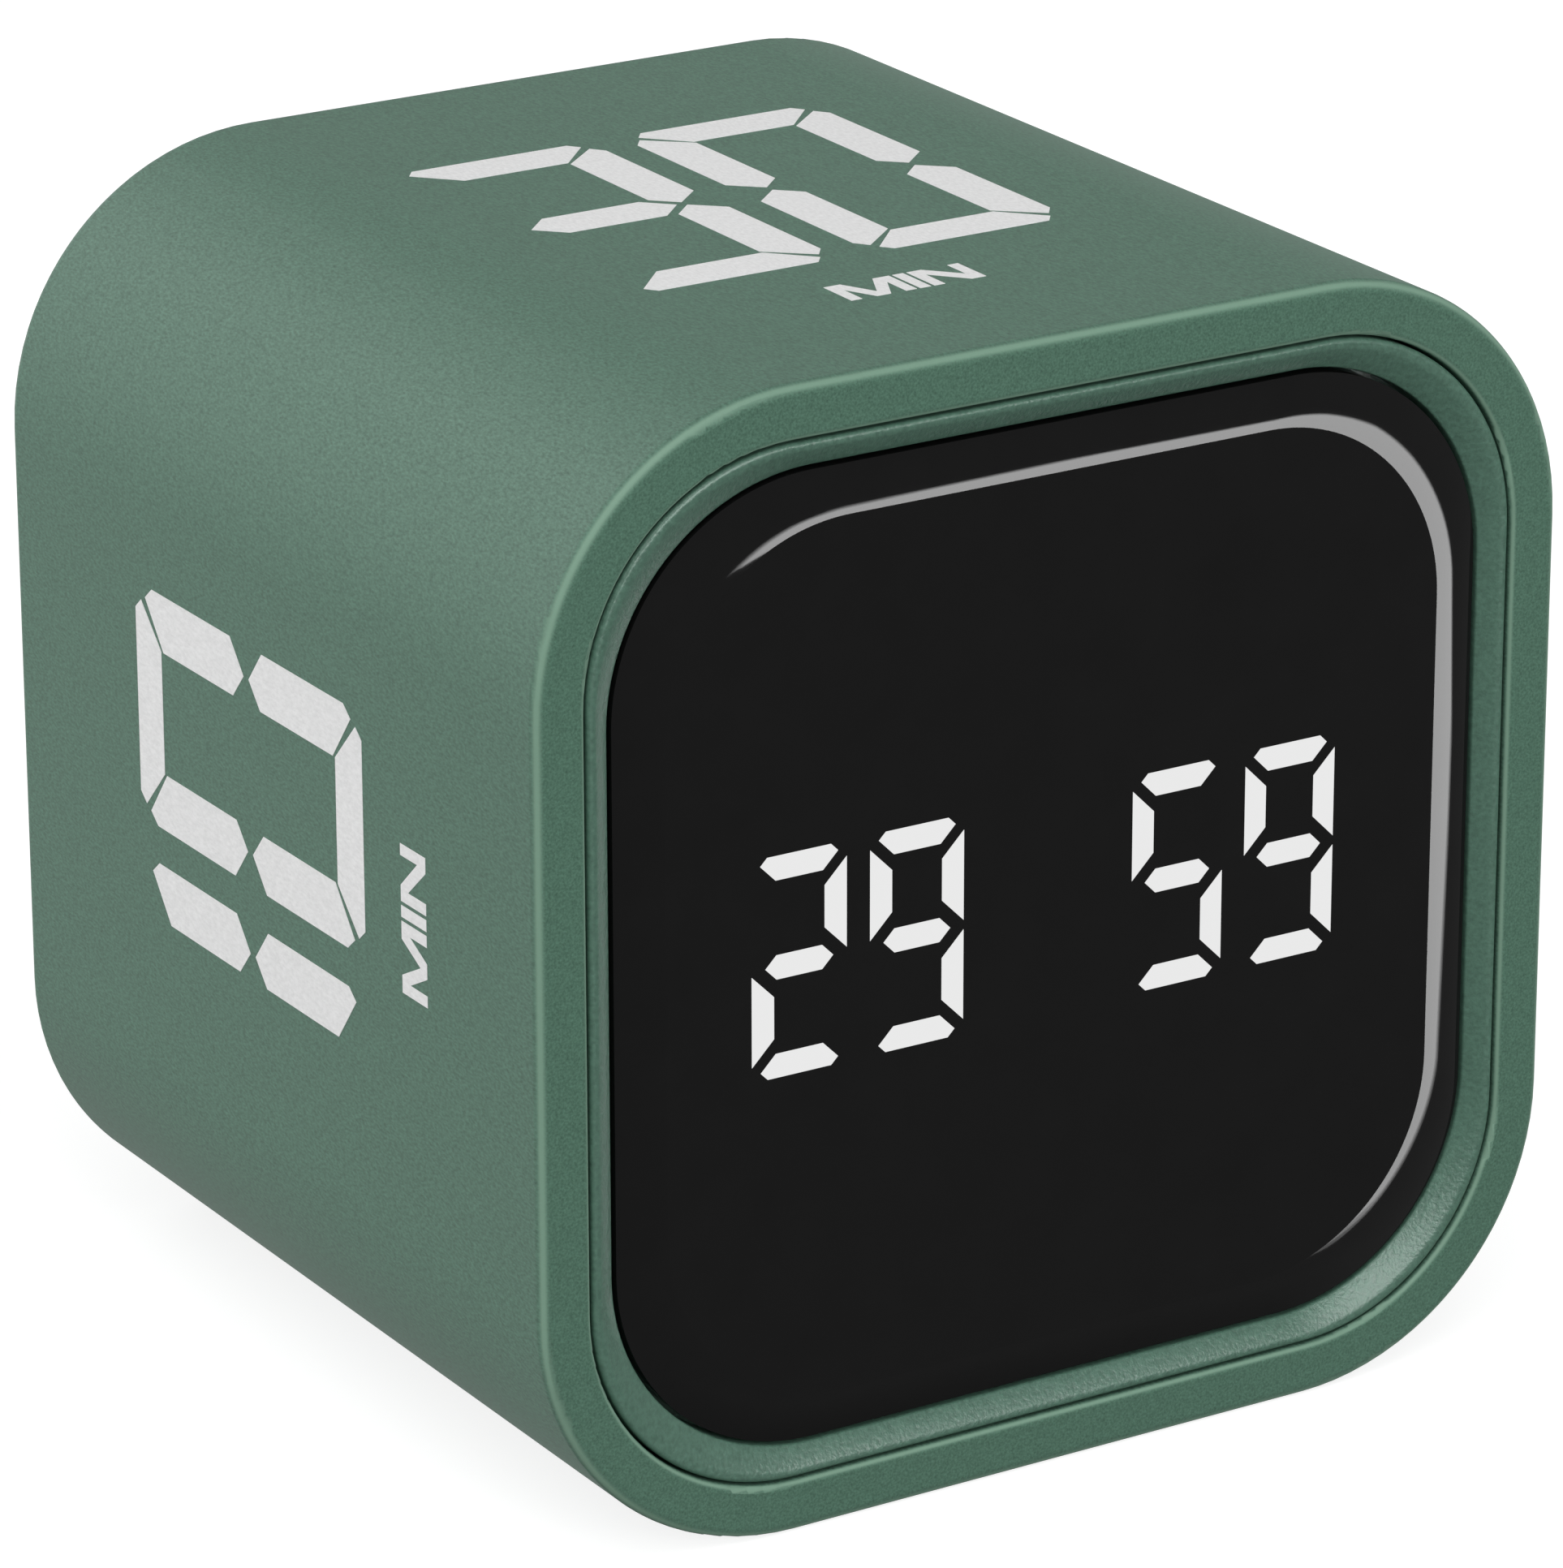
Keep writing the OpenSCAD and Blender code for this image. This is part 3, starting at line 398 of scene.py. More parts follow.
def painted_edge_highlight(material, highlight_colour):
    """Lightens a paint over rounded front edges: a painted highlight along them."""
    tree = material.node_tree
    shader = next(node for node in tree.nodes if node.type == "BSDF_PRINCIPLED")
    tint = shader.inputs["Base Color"].links[0].from_socket
    place = add_node(tree, "ShaderNodeTexCoord")
    facing = add_node(tree, "ShaderNodeSeparateXYZ", {"Vector": place.outputs["Normal"]})
    front = add_node(
        tree, "ShaderNodeMath", {0: facing.outputs["Y"]}, {1: -1.0}, operation="MULTIPLY", use_clamp=True
    )
    square = add_node(tree, "ShaderNodeMath", {0: front.outputs[0]}, {1: 2.0}, operation="POWER")
    middle = add_node(tree, "ShaderNodeMath", {0: square.outputs[0]}, {1: 0.5}, operation="PINGPONG")
    strength = add_node(
        tree, "ShaderNodeMapRange", {"Value": middle.outputs[0]},
        {"From Max": EDGE_HIGHLIGHT_FULL, "To Max": EDGE_HIGHLIGHT_SHARE}, interpolation_type="SMOOTHSTEP",
    )
    # Painted highlight: the paint's colour is mixed towards a paler one where the surface turns from front to
    # side
    highlighted = add_node(
        tree, "ShaderNodeMix", {"Factor": strength.outputs["Result"], "A": tint}, {"B": (*highlight_colour, 1)},
        data_type="RGBA",
    )
    tree.links.new(highlighted.outputs["Result"], shader.inputs["Base Color"])


# Each finish: colour, or None where the settings give it, grain in millimetres, contrast, roughness and its
# spread, bump in millimetres and other sockets
FINISHES = {
    # Soft-touch paint sprayed over plastic: matt, finely speckled, with a broad dull sheen on the corners
    "soft_touch_paint": (None, 0.13, 0.68, 0.5, 0.05, 0.003, {"Specular IOR Level": 0.2}),
    # Moulded ABS in the paint's green, with a satin spark-eroded texture that glints on the slope
    "satin_green_abs": (None, 0.24, 0.4, 0.34, 0.1, 0.03, {"Specular IOR Level": 0.3}),
    # Smoked acrylic with a dark coating: polished, nearly black, and little light comes back from it
    "smoked_acrylic": ("#151515", 4.0, 0.15, 0.035, 0.005, 0, {"Specular IOR Level": 0.085}),
    # Light of the digits as it comes through the smoked window: even, a little greyer than white
    "digit_glow": ("#101010", 1.5, 0.1, 0.4, 0.02, 0, {"Emission Strength": 1.0, "Specular IOR Level": 0.0}),
    # Screen-printed ink: pale grey, matt, slightly uneven over the paint's grain
    "screen_print_ink": (None, 0.17, 0.16, 0.6, 0.05, 0.008, {"Specular IOR Level": 0.25}),
    # Moulded black ABS with a fine spark-eroded texture
    "black_abs": ("#232426", 0.12, 0.2, 0.5, 0.06, 0.01, {}),
    # Nickel-plated steel: bright, with the faint marks of rolling and turning
    "nickel_plated_steel": ("#c3c6c9", 0.3, 0.06, 0.28, 0.06, 0.002, {"Metallic": 1.0}),
    # Green solder mask: a glossy lacquer over copper, which shows through as a mottle
    "solder_mask": ("#1f5a3a", 1.2, 0.25, 0.3, 0.05, 0.01, {}),
    # Epoxy of chip packages: dark grey and matt
    "chip_epoxy": ("#2a2b2e", 0.1, 0.15, 0.6, 0.05, 0.004, {}),
    # Moulded nylon of plugs and plungers: creamy, slightly glossy
    "cream_nylon": ("#e2ddcd", 0.4, 0.05, 0.45, 0.05, 0.004, {}),
    # Fired ceramic of the capacitors: tan, matt
    "tan_ceramic": ("#b08d57", 0.2, 0.12, 0.5, 0.05, 0.004, {}),
    # Laminated polyester film of the ribbon cable: pale and smooth
    "laminated_film": ("#d8d5ca", 0.8, 0.06, 0.3, 0.04, 0.002, {}),
    # Aluminium foil pouch of the battery: dull silver, lightly crumpled
    "pouch_foil": ("#b9bcc0", 2.5, 0.08, 0.35, 0.1, 0.03, {"Metallic": 1.0}),
    # Black foam of the tape and the battery pad: open-celled and dull
    "black_foam": ("#2c2c2c", 0.4, 0.35, 0.9, 0.05, 0.05, {}),
    # PVC sleeves of the battery leads: red, slightly glossy
    "pvc_sleeve": ("#8d2024", 0.5, 0.1, 0.45, 0.05, 0.004, {}),
}

NODE_FINISH = {
    "soft_touch_paint": ["shell", "rear_cover", "minute_button", "second_button", "start_button"],
    "black_abs": [
        "display_reflector", "tact_switches", "mode_switch_lever", "mode_knob", "usb_tongue", "buzzer",
    ],
    "chip_epoxy": ["microcontroller", "led_driver", "gravity_sensor", "charger_chip"],
    "nickel_plated_steel": [
        "display_board_screws", "rear_cover_screws", "control_board_screws", "clock_crystal",
        "mode_switch_case", "usb_socket",
    ],
    "solder_mask": ["display_board", "control_board", "battery_guard_board"],
    "cream_nylon": [
        "ribbon_sockets", "battery_plug", "battery_socket", "minute_plunger", "second_plunger",
        "start_plunger", "light_bars", "display_leds",
    ],
    "tan_ceramic": ["display_capacitors"],
    "laminated_film": ["ribbon_cable"],
    "pouch_foil": ["battery_pouch"],
    "black_foam": ["battery_pad", "lens_tape"],
    "pvc_sleeve": ["battery_leads"],
}


def dress(piece, finish):
    """Gives a new piece its finish and its place on the housing."""
    piece.data.materials.clear()
    piece.data.materials.append(bpy.data.materials[finish])
    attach(piece, "housing")


# Operators


class CUBETIMER_OT_finishes(bpy.types.Operator):
    """Makes the finishes and gives the solid pieces theirs"""

    bl_idname = "cubetimer.finishes"
    bl_label = "Finishes"

    def execute(self, context):
        colours = context.scene.cube_timer_colours
        chosen = {
            "soft_touch_paint": colours.paint,
            "satin_green_abs": colours.bezel,
            "screen_print_ink": colours.ink,
        }
        for name, (hex_colour, *grain, values) in FINISHES.items():
            base = chosen[name] if name in chosen else linear(hex_colour)
            if name == "digit_glow":
                values = {**values, "Emission Color": (*colours.digits, 1)}
            material = grained(name, base, *grain, values)
            # The paint gets a painted highlight over its rounded front edges
            if name == "soft_touch_paint":
                painted_edge_highlight(material, colours.edges)
        for name, nodes in NODE_FINISH.items():
            material = bpy.data.materials[name]
            for node in nodes:
                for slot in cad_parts[node].material_slots:
                    slot.material = material
        return {"FINISHED"}


class CUBETIMER_OT_window(bpy.types.Operator):
    """Models the smoked window with its flat middle and falling edge"""

    bl_idname = "cubetimer.window"
    bl_label = "Window"

    band_steps = 10
    # The band's rise from the edge, as a share of its height, is a straight part less a squared part
    band_slope, band_ease = 1.55, 0.55
    smooth_below = math.radians(30)

    def execute(self, context):
        sizes = context.scene.cube_timer_sizes
        width = WINDOW_HIGH.x - WINDOW_LOW.x
        height = WINDOW_HIGH.z - WINDOW_LOW.z
        thickness = WINDOW_HIGH.y - WINDOW_LOW.y
        crown = thickness - sizes.window_edge
        outlines = [(width, height, sizes.window_corner, 0)]
        for step in range(self.band_steps + 1):
            # The band is steep at the edge, and meets the flat middle at a slight crease
            part = step / self.band_steps
            outlines.append((
                width - 2 * part * sizes.band_side, height - 2 * part * sizes.band_top,
                sizes.window_corner + part * (sizes.flat_corner - sizes.window_corner),
                sizes.window_edge + crown * (self.band_slope * part - self.band_ease * part ** 2),
            ))
        piece = lofted(outlines, closed=False)
        for outline in (outlines[0], outlines[-1]):
            select_outlines(piece, outline)
            bpy.ops.mesh.edge_face_add()
        bpy.ops.mesh.mark_sharp()
        bpy.ops.mesh.select_all(action="SELECT")
        bpy.ops.mesh.normals_make_consistent(inside=False)
        bpy.ops.object.mode_set(mode="OBJECT")
        bpy.ops.object.shade_smooth_by_angle(angle=self.smooth_below, keep_sharp_edges=True)
        settle(piece, "window_pane", facing_front(WINDOW_HIGH.y - FRONT_Y))
        dress(piece, "smoked_acrylic")
        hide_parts("lens")
        return {"FINISHED"}


class CUBETIMER_OT_bezel(bpy.types.Operator):
    """Models the bezel: a ring that slopes from the seam down to the window, with its back plate"""

    bl_idname = "cubetimer.bezel"
    bl_label = "Bezel"

    light_clearance = 0.4 * MM
    light_corner = 0.3 * MM
    level_step = 0.05 * MM
    # Which outline is rounded, its share of the bezel's rounding and the segments: the seam's edge is rounded
    # and the lip's and the pocket's are only just broken
    rounded = ((1, 0.85, 6), (2, 0.35, 3), (3, 0.25, 2))
    smooth_below = math.radians(40)

    def execute(self, context):
        sizes = context.scene.cube_timer_sizes
        width = BEZEL_HIGH.x - BEZEL_LOW.x
        height = BEZEL_HIGH.z - BEZEL_LOW.z
        inner_w = WINDOW_HIGH.x - WINDOW_LOW.x + 2 * sizes.pocket_gap
        inner_h = WINDOW_HIGH.z - WINDOW_LOW.z + 2 * sizes.pocket_gap
        inner_corner = sizes.window_corner + sizes.pocket_gap
        top = FRONT_Y - BEZEL_LOW.y
        slope_end = FRONT_Y - WINDOW_HIGH.y + sizes.window_edge
        ledge = FRONT_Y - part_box("lens_tape")[1].y
        back = -sizes.bezel_seat
        light_low, light_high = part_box("display_reflector")
        # The hole is centred on the bezel, and wide enough for a light that isn't
        off_x = abs((light_low.x + light_high.x) / 2 - MIDDLE.x)
        off_z = abs((light_low.z + light_high.z) / 2 - MIDDLE.z)
        hole_w = light_high.x - light_low.x + self.light_clearance + 2 * off_x
        hole_h = light_high.z - light_low.z + self.light_clearance + 2 * off_z
        lip = 2 * sizes.bezel_lip
        # No two neighbours lie at one level, because a bridge between such loops can twist
        outlines = [
            (width, height, sizes.bezel_corner, back),
            (width, height, sizes.bezel_corner, top),
            (width - lip, height - lip, inner_corner, top - self.level_step),
            (inner_w, inner_h, inner_corner, slope_end),
            (inner_w, inner_h, inner_corner, ledge),
            (hole_w, hole_h, self.light_corner, ledge - self.level_step),
            (hole_w, hole_h, self.light_corner, back),
        ]
        piece = lofted(outlines, closed=True)
        bpy.ops.mesh.select_all(action="SELECT")
        bpy.ops.mesh.normals_make_consistent(inside=False)
        for number, share, segments in self.rounded:
            select_outlines(piece, outlines[number])
            bpy.ops.mesh.bevel(
                affect="EDGES", offset=share * sizes.bezel_round, segments=segments, profile=0.5
            )
        bpy.ops.object.mode_set(mode="OBJECT")
        bpy.ops.object.shade_smooth_by_angle(angle=self.smooth_below)
        settle(piece, "bezel_ring", facing_front(0))
        dress(piece, "satin_green_abs")
        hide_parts("front_bezel")
        return {"FINISHED"}


class CUBETIMER_OT_digits(bpy.types.Operator):
    """Models the four lit digits on the window"""

    bl_idname = "cubetimer.digits"
    bl_label = "Lit Digits"

    shown = "2959"

    def execute(self, context):
        sizes = context.scene.cube_timer_sizes
        light_low, light_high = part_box("display_reflector")
        middle = (light_low + light_high) / 2 - MIDDLE
        first = sizes.pair_gap / 2 + sizes.digit_width / 2
        places = [-first - sizes.digit_pitch, -first, first, first + sizes.digit_pitch]
        depth = WINDOW_LOW.y - FRONT_Y
        bars = {name: trimmed_bar(bar, sizes.ink_thickness) for name, bar in lit_bars(sizes).items()}
        for number, (figure, x) in enumerate(zip(self.shown, places), 1):
            piece = copied([bars[name] for name in FIGURE_BARS[figure]])
            move = Matrix.Translation((middle.x + x, middle.z, 0))
            settle(piece, f"lit_digit_{number}", facing_front(depth) @ move)
            dress(piece, "digit_glow")
        discard(bars.values())
        return {"FINISHED"}


def side_frame(reading, outward):
    """Turns a flat piece onto a side, with its text reading that way and its top towards the back."""
    up = Vector((0, 1, 0))
    reach = abs(outward.dot(SHELL_HIGH - SHELL_LOW)) / 2
    turn = Matrix((reading, up, outward)).transposed().to_4x4()
    return Matrix.Translation(MIDDLE + outward * reach) @ turn


# Each side's time, reading direction and outward direction, then the print's shift in millimetres along the
# reading direction, the sideways stretch of its figures and its height as a share of the usual
SIDES = (
    ("top", "30", Vector((1, 0, 0)), Vector((0, 0, 1)), -1.55, 1.0, 1.0),
    ("left", "10", Vector((0, 0, 1)), Vector((-1, 0, 0)), 1.95, 1.09, 0.963),
    ("right", "60", Vector((0, 0, -1)), Vector((1, 0, 0)), 0.0, 1.0, 1.0),
    ("under", "5", Vector((-1, 0, 0)), Vector((0, 0, -1)), 0.0, 1.0, 1.0),
)


def letter_bars():
    """Outlines of the wide letters under the figures, about their middle, as convex pieces that touch."""
    tall, stroke = 2.6, 0.62
    wide_m, wide_n, space = 3.8, 3.03, 0.21
    half_m = wide_m / 2
    end_n = wide_n - stroke
    # A slanting stroke's upper right and lower left corners, and the heights where it leaves its two sides
    top_m, foot_m, start_m, stop_m = 0.95, 1.5, 0.68 * tall, 0.26 * tall
    top_n, foot_n, start_n, stop_n = 0.85, 2.2, 0.71 * tall, 0.33 * tall
    upright = [(0, 0), (stroke, 0), (stroke, tall), (0, tall)]
    fall_m = [(stroke, start_m), (foot_m, 0), (half_m, 0), (half_m, stop_m), (top_m, tall), (stroke, tall)]
    rise_m = [(wide_m - x, y) for x, y in reversed(fall_m)]
    fall_n = [(stroke, start_n), (foot_n, 0), (end_n, 0), (end_n, stop_n), (top_n, tall), (stroke, tall)]
    place_i = wide_m + space
    place_n = place_i + stroke + space
    whole = place_n + wide_n
    pieces = [
        (upright, 0), (fall_m, 0), (rise_m, 0), (upright, wide_m - stroke), (upright, place_i),
        (upright, place_n), (fall_n, place_n), (upright, place_n + wide_n - stroke),
    ]
    return [
        [((x + shift - whole / 2) * MM, (y - tall / 2) * MM) for x, y in outline]
        for outline, shift in pieces
    ]


class CUBETIMER_OT_marks(bpy.types.Operator):
    """Prints the preset times on the four sides"""

    bl_idname = "cubetimer.marks"
    bl_label = "Printed Times"

    figures_rise = 1.6 * MM
    letters_shift = -0.45 * MM
    letters_rise = -16.0 * MM

    def execute(self, context):
        sizes = context.scene.cube_timer_sizes
        letters = join([trimmed_bar(outline, sizes.ink_thickness) for outline in letter_bars()])
        settle(letters, "letters", Matrix.Translation((self.letters_shift, self.letters_rise, 0)))
        for name, time, reading, outward, shift, stretch, tall in SIDES:
            span = sizes.mark_pitch * (len(time) - 1)
            if time[0] == "1":
                # A one has only its right-hand bars, so its pair is centred on what is printed
                span -= sizes.mark_width - sizes.mark_stroke
            parts = []
            for place, figure in enumerate(time):
                bars = printed_bars(sizes, figure)
                x = (place - len(time) + 1) * sizes.mark_pitch + span / 2
                for bar in FIGURE_BARS[figure]:
                    outline = [((u + x) * stretch, v + self.figures_rise) for u, v in bars[bar]]
                    parts.append(trimmed_bar(outline, sizes.ink_thickness))
            parts.append(copied([letters]))
            move = Matrix.Translation((shift * MM, 0, 0)) @ Matrix.Diagonal((1, tall, 1, 1))
            piece = settle(join(parts), f"printed_time_{name}", side_frame(reading, outward) @ move)
            dress(piece, "screen_print_ink")
        discard([letters])
        return {"FINISHED"}


class CUBETIMER_OT_stage(bpy.types.Operator):
    """Sets the floor, the lights and the camera"""

    bl_idname = "cubetimer.stage"
    bl_label = "Stage"

    # Each lamp's direction from the cube, its size, the level that it gives a facing surface, whether that is
    # matt light, gloss or both, and a piece that it spares or that is all it lights
    lamps = (
        ("key_lamp", (-0.45, -0.5, 0.74), 0.9, 0.45, "both", None),
        ("overhead_lamp", (-0.05, -0.45, 0.9), 0.9, 0.25, "both", None),
        ("rear_lamp", (-0.38, 0.79, 0.47), 0.8, 0.14, "both", None),
        ("rear_sheen_lamp", (-0.38, 0.79, 0.47), 0.8, 0.7, "gloss", ("window_pane", "EXCLUDE")),
        ("left_lamp", (-0.9, 0.4, 0.1), 0.8, 0.66, "both", None),
        ("front_lamp", (0.1, -0.95, 0.28), 0.5, 0.4, "matt", None),
        ("front_sheen_lamp", (0.18, -0.92, 0.3), 0.7, 1.1, "gloss", ("bezel_ring", "INCLUDE")),
        ("right_front_lamp", (0.8, -0.55, 0.25), 0.5, 0.09, "matt", None),
        ("back_lamp", (0.7, 0.75, 0.06), 0.8, 0.5, "matt", None),
    )
    lamp_distance = 1.2

    def lamp(self, name, towards, size, level, kind, linked):
        """A soft square lamp in a direction from the cube, at the level that it gives a surface facing it."""
        begin()
        bpy.ops.object.light_add(type="AREA")
        lamp = bpy.context.object
        lamp.name = name
        lamp.data.shape = "SQUARE"
        lamp.data.size = size
        # Once for the lamp's own spread and once for the matt surface's, the light is divided by pi
        lamp.data.energy = level * (math.pi * self.lamp_distance) ** 2
        place = Vector(towards).normalized() * self.lamp_distance
        lamp.location = MIDDLE + place
        lamp.rotation_euler = (-place).to_track_quat("-Z", "Y").to_euler()
        lamp.visible_diffuse = kind != "gloss"
        lamp.visible_glossy = kind != "matt"
        if linked:
            piece, state = linked
            pieces = bpy.data.collections.new(f"{name}_pieces")
            pieces.objects.link(bpy.data.objects[piece])
            pieces.collection_objects[0].light_linking.link_state = state
            lamp.light_linking.receiver_collection = pieces

    # The corner that the streak card's layers share, and its halves and thin end, in millimetres about the
    # point that the window's middle mirrors
    card_heart = (48, 62)
    card_top = [
        (48, 62), (113, 100), (84, 126), (45, 144), (10, 155), (-14, 159), (-34, 150), (-54, 132), (-82, 105),
    ]
    card_tip = [(-48, 104), (-54, 132), (-70, 123), (-84, 111), (-99, 94)]
    card_side = [(48, 62), (54, -91), (74, -89), (95, -80), (201, -8), (206, 3), (113, 100)]
    card_distance = 0.4
    # The card's level at its top and at its right, and where along the diagonal between them each is reached
    card_levels = (43, 23.5)
    card_ends = (-0.17, 0.2)
    # Each layer's size, level and distance behind the first: the outer layers fade the streak's outer side
    card_layers = ((0.93, 1.0, 0.0), (0.965, 0.6, 0.001), (1.0, 0.25, 0.002))

    def card_glow(self, share):
        """Light of one layer of the card, stronger at its top, where the window mirrors less."""
        material = bpy.data.materials.new("streak_card_glow")
        material.use_nodes = True
        tree = material.node_tree
        tree.nodes.clear()
        place = add_node(tree, "ShaderNodeTexCoord")
        along = add_node(
            tree, "ShaderNodeVectorMath", {0: place.outputs["Object"]}, {1: (1, -1, 0)},
            operation="DOT_PRODUCT",
        )
        start, stop = self.card_ends
        first, last = self.card_levels
        level = add_node(
            tree, "ShaderNodeMapRange", {"Value": along.outputs["Value"]},
            {"From Min": start, "From Max": stop, "To Min": first * share, "To Max": last * share},
        )
        glow = add_node(tree, "ShaderNodeEmission", {"Strength": level.outputs["Result"]})
        add_node(tree, "ShaderNodeOutputMaterial", {"Surface": glow.outputs["Emission"]})
        return material

    def streak_card(self, camera):
        """A bright card that only the window mirrors, as the pale streak along its top and right edges."""
        heart = Vector((MIDDLE.x, WINDOW_LOW.y, MIDDLE.z))
        sight = (heart - camera.location).normalized()
        mirrored = Vector((sight.x, -sight.y, sight.z))
        across = Vector((0, 0, 1)).cross(mirrored).normalized()
        up = mirrored.cross(across)
        turn = Matrix((across, up, across.cross(up))).transposed().to_4x4()
        sheets = []
        for size, share, behind in self.card_layers:
            material = self.card_glow(share)
            place = heart + mirrored * (self.card_distance + behind)
            for outline in (self.card_top, self.card_tip, self.card_side):
                corners = [
                    tuple((c + (v - c) * size) * MM for v, c in zip(corner, self.card_heart))
                    for corner in outline
                ]
                sheet = trimmed_sheet(corners)
                bpy.ops.object.mode_set(mode="OBJECT")
                sheet.data.materials.append(material)
                sheet.matrix_world = Matrix.Translation(place) @ turn
                sheets.append(sheet)
        card = join(sheets)
        card.name = "streak_card"
        card.visible_camera = False
        card.visible_diffuse = False
        card.visible_transmission = False
        card.visible_shadow = False
        window_only = bpy.data.collections.new("window_only")
        window_only.objects.link(bpy.data.objects["window_pane"])
        card.light_linking.receiver_collection = window_only

    floor_size = 6
    floor_drop = 0.03 * MM
    floor_shade = (0.36, 0.36, 0.36, 1)
    floor_glow = 0.82

    def floor(self):
        """A floor that looks white and keeps a soft shadow; gloss looks past it to the room."""
        begin()
        bpy.ops.mesh.primitive_plane_add(size=self.floor_size, location=(0, 0, -self.floor_drop))
        floor = bpy.context.object
        floor.name = "stage_floor"
        material = bpy.data.materials.new("white_sweep")
        material.use_nodes = True
        tree = material.node_tree
        tree.nodes.clear()
        path = add_node(tree, "ShaderNodeLightPath")
        seen = add_node(
            tree, "ShaderNodeMath",
            {0: path.outputs["Is Camera Ray"], 1: path.outputs["Is Glossy Ray"]}, operation="MAXIMUM",
        )
        seen = add_node(
            tree, "ShaderNodeMath",
            {0: seen.outputs[0], 1: path.outputs["Is Transmission Ray"]}, operation="MAXIMUM",
        )
        glow = add_node(
            tree, "ShaderNodeMath", {0: seen.outputs[0]}, {1: self.floor_glow}, operation="MULTIPLY"
        )
        shader = add_node(
            tree, "ShaderNodeBsdfPrincipled", {"Emission Strength": glow.outputs[0]},
            {"Base Color": self.floor_shade, "Roughness": 1.0, "Specular IOR Level": 0.0,
             "Emission Color": WHITE},
        )
        add_node(tree, "ShaderNodeOutputMaterial", {"Surface": shader.outputs["BSDF"]})
        floor.data.materials.append(material)
        floor.visible_glossy = False

    # The room's level as light on the object, and in gloss in front of the cube and underneath it
    room_light, room_front, room_under = 0.04, 0.5, 0.3
    # In gloss: the way to the room's white side, where that side fades in, and where the underside fades out
    white_side = (-0.5, 0.85, 0)
    white_range = (0.35, 0.85)
    under_range = (-0.85, -0.6)

    def world(self, scene):
        """A room that is white to the eye, and in gloss white behind and dimmer in front and underneath."""
        world = bpy.data.worlds.new("white_room")
        scene.world = world
        world.use_nodes = True
        world.cycles.sampling_method = "NONE"
        tree = world.node_tree
        tree.nodes.clear()
        path = add_node(tree, "ShaderNodeLightPath")
        place = add_node(tree, "ShaderNodeTexCoord")
        behind = add_node(
            tree, "ShaderNodeVectorMath", {0: place.outputs["Generated"]}, {1: self.white_side},
            operation="DOT_PRODUCT",
        )
        start, stop = self.white_range
        sides = add_node(
            tree, "ShaderNodeMapRange", {"Value": behind.outputs["Value"]},
            {"From Min": start, "From Max": stop, "To Min": self.room_front, "To Max": 1.0},
        )
        towards = add_node(tree, "ShaderNodeSeparateXYZ", {"Vector": place.outputs["Generated"]})
        start, stop = self.under_range
        below = add_node(
            tree, "ShaderNodeMapRange", {"Value": towards.outputs["Z"]},
            {"From Min": start, "From Max": stop, "To Min": self.room_under, "To Max": 1.0},
        )
        mirrored = add_node(
            tree, "ShaderNodeMath", {0: sides.outputs["Result"], 1: below.outputs["Result"]},
            operation="MULTIPLY",
        )
        gloss = add_node(
            tree, "ShaderNodeMix", {"Factor": path.outputs["Is Glossy Ray"], "B": mirrored.outputs[0]},
            {"A": self.room_light},
        )
        seen = add_node(
            tree, "ShaderNodeMath",
            {0: path.outputs["Is Camera Ray"], 1: path.outputs["Is Transmission Ray"]}, operation="MAXIMUM",
        )
        strength = add_node(
            tree, "ShaderNodeMix", {"Factor": seen.outputs[0], "A": gloss.outputs["Result"]}, {"B": 1.0}
        )
        sky = add_node(
            tree, "ShaderNodeBackground", {"Strength": strength.outputs["Result"]}, {"Color": WHITE}
        )
        add_node(tree, "ShaderNodeOutputWorld", {"Surface": sky.outputs["Background"]})

    # The camera's place in metres and its turns in degrees, fitted to the photograph
    camera_eye = (-0.209816, -0.340876, 0.176413)
    camera_turns = (31.693, 20.323, 0.114)
    camera_lens, camera_sensor, camera_near = 187.06, 36, 0.01

    def camera(self, scene):
        """The photograph's view, fitted to the outline of the front and the sides."""
        yaw, pitch, roll = (math.radians(turn) for turn in self.camera_turns)
        forward = Vector((
            math.sin(yaw) * math.cos(pitch), math.cos(yaw) * math.cos(pitch), -math.sin(pitch)
        ))
        level = Vector((math.cos(yaw), -math.sin(yaw), 0))
        down = forward.cross(level)
        right = math.cos(roll) * level + math.sin(roll) * down
        up = math.sin(roll) * level - math.cos(roll) * down
        begin()
        bpy.ops.object.camera_add()
        camera = bpy.context.object
        camera.name = "photo_camera"
        camera.data.sensor_width = self.camera_sensor
        camera.data.lens = self.camera_lens
        camera.data.clip_start = self.camera_near
        turn = Matrix((right, up, -forward)).transposed().to_4x4()
        camera.matrix_world = Matrix.Translation(self.camera_eye) @ turn
        scene.camera = camera
        return camera

    def execute(self, context):
        scene = context.scene
        scene.view_settings.view_transform = "Standard"
        self.floor()
        self.world(scene)
        for lamp in self.lamps:
            self.lamp(*lamp)
        self.streak_card(self.camera(scene))
        return {"FINISHED"}


class CUBETIMER_PT_panel(bpy.types.Panel):
    """Lists the settings and the steps"""

    bl_idname = "CUBETIMER_PT_panel"
    bl_label = "Cube Timer"
    bl_space_type = "VIEW_3D"
    bl_region_type = "UI"
    bl_category = "Cube Timer"

    def draw(self, context):
        for group in (context.scene.cube_timer_sizes, context.scene.cube_timer_colours):
            box = self.layout.box()
            for setting in group.__annotations__:
                box.prop(group, setting)
        for operator in OPERATORS:
            self.layout.operator(operator.bl_idname)


OPERATORS = (
    CUBETIMER_OT_finishes, CUBETIMER_OT_window, CUBETIMER_OT_bezel, CUBETIMER_OT_digits, CUBETIMER_OT_marks,
    CUBETIMER_OT_stage,
)
CLASSES = (CubeTimerSizes, CubeTimerColours, *OPERATORS, CUBETIMER_PT_panel)


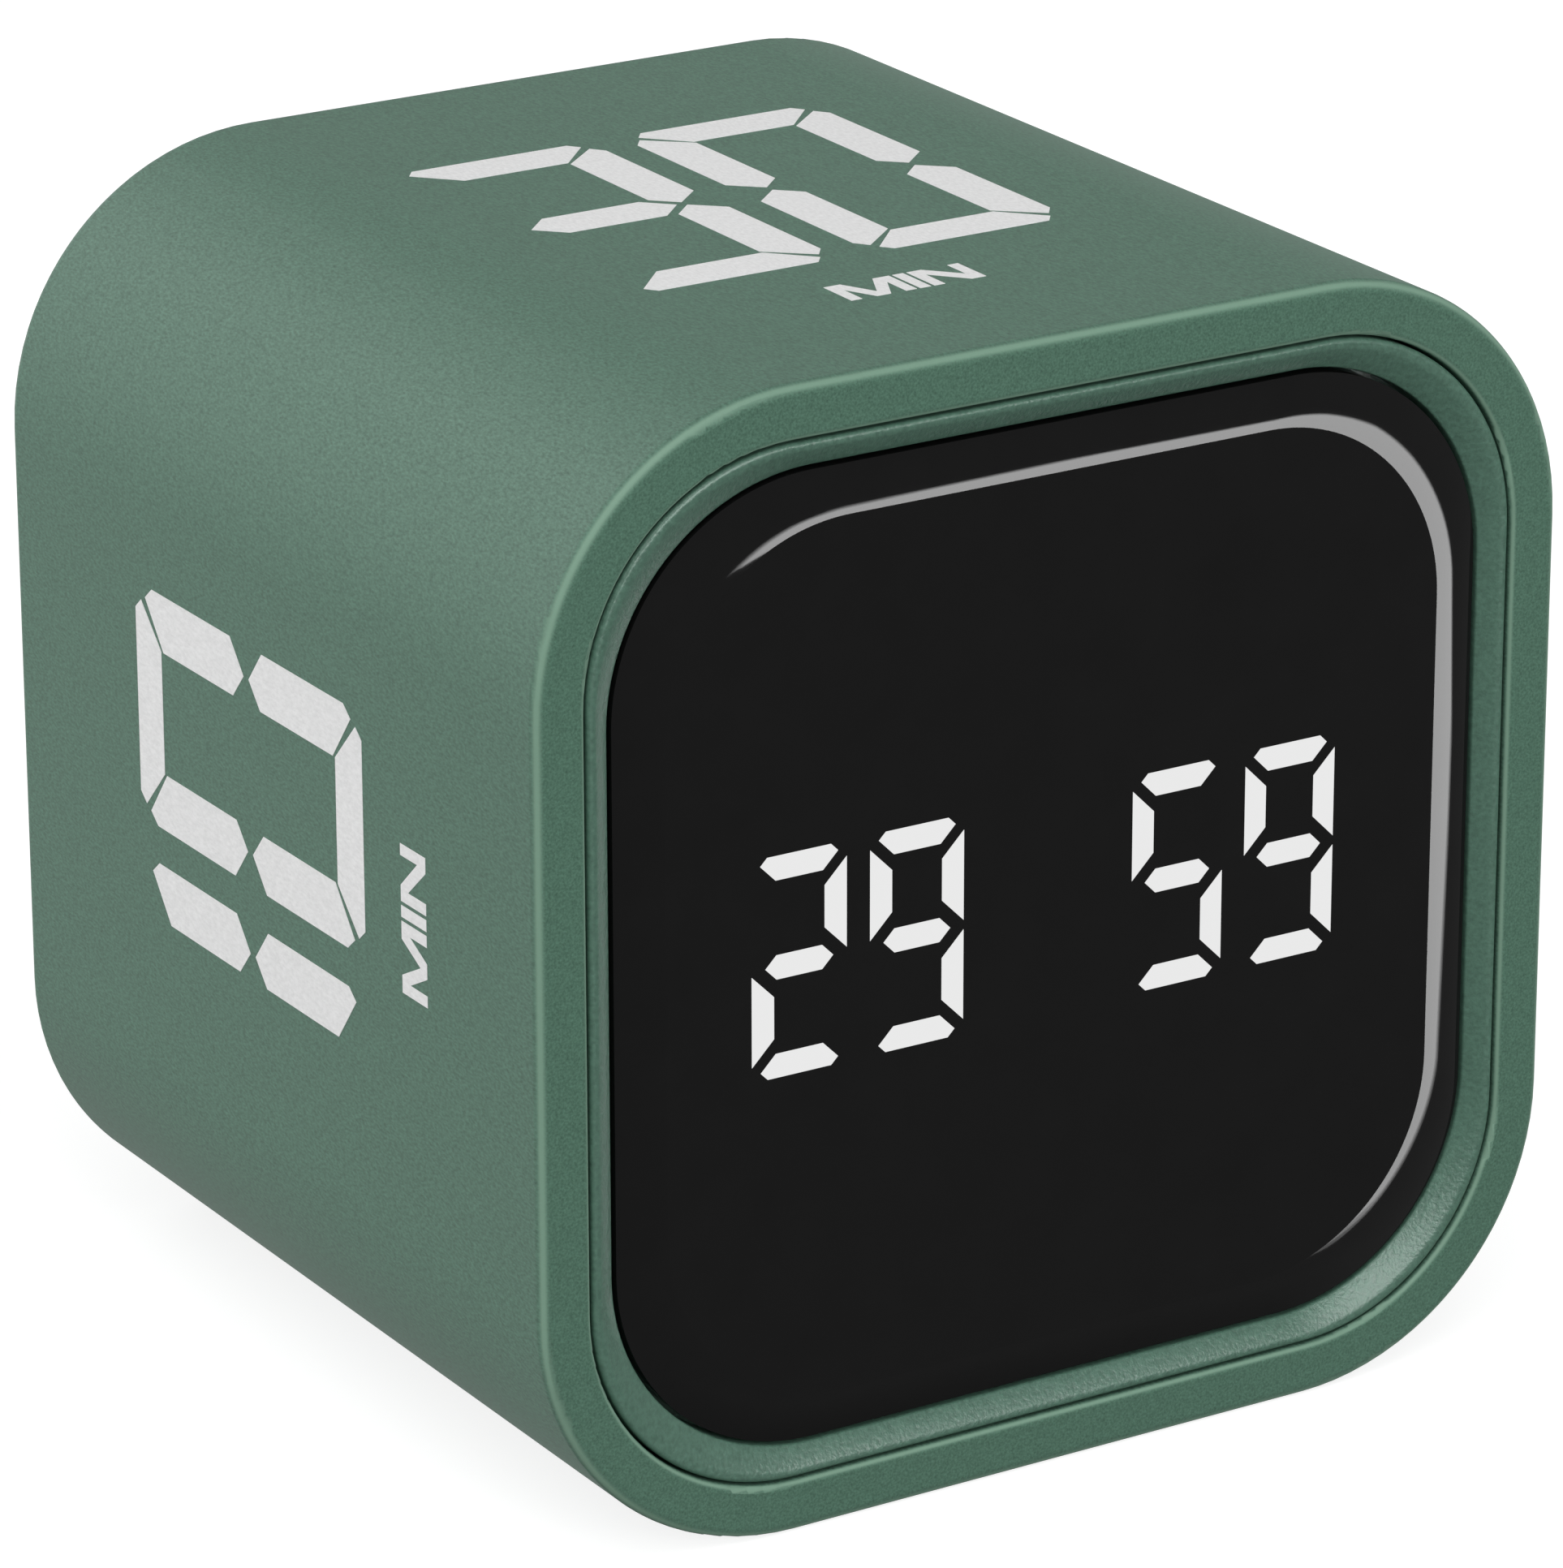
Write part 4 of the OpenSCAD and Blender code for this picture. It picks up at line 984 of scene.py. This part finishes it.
def register():
    for cls in CLASSES:
        bpy.utils.register_class(cls)
    bpy.types.Scene.cube_timer_sizes = PointerProperty(type=CubeTimerSizes)
    bpy.types.Scene.cube_timer_colours = PointerProperty(type=CubeTimerColours)


def unregister():
    del bpy.types.Scene.cube_timer_colours
    del bpy.types.Scene.cube_timer_sizes
    for cls in reversed(CLASSES):
        bpy.utils.unregister_class(cls)


def main():
    register()
    bpy.ops.cubetimer.finishes()
    bpy.ops.cubetimer.window()
    bpy.ops.cubetimer.bezel()
    bpy.ops.cubetimer.digits()
    bpy.ops.cubetimer.marks()
    bpy.ops.cubetimer.stage()


if __name__ == "__main__":
    main()
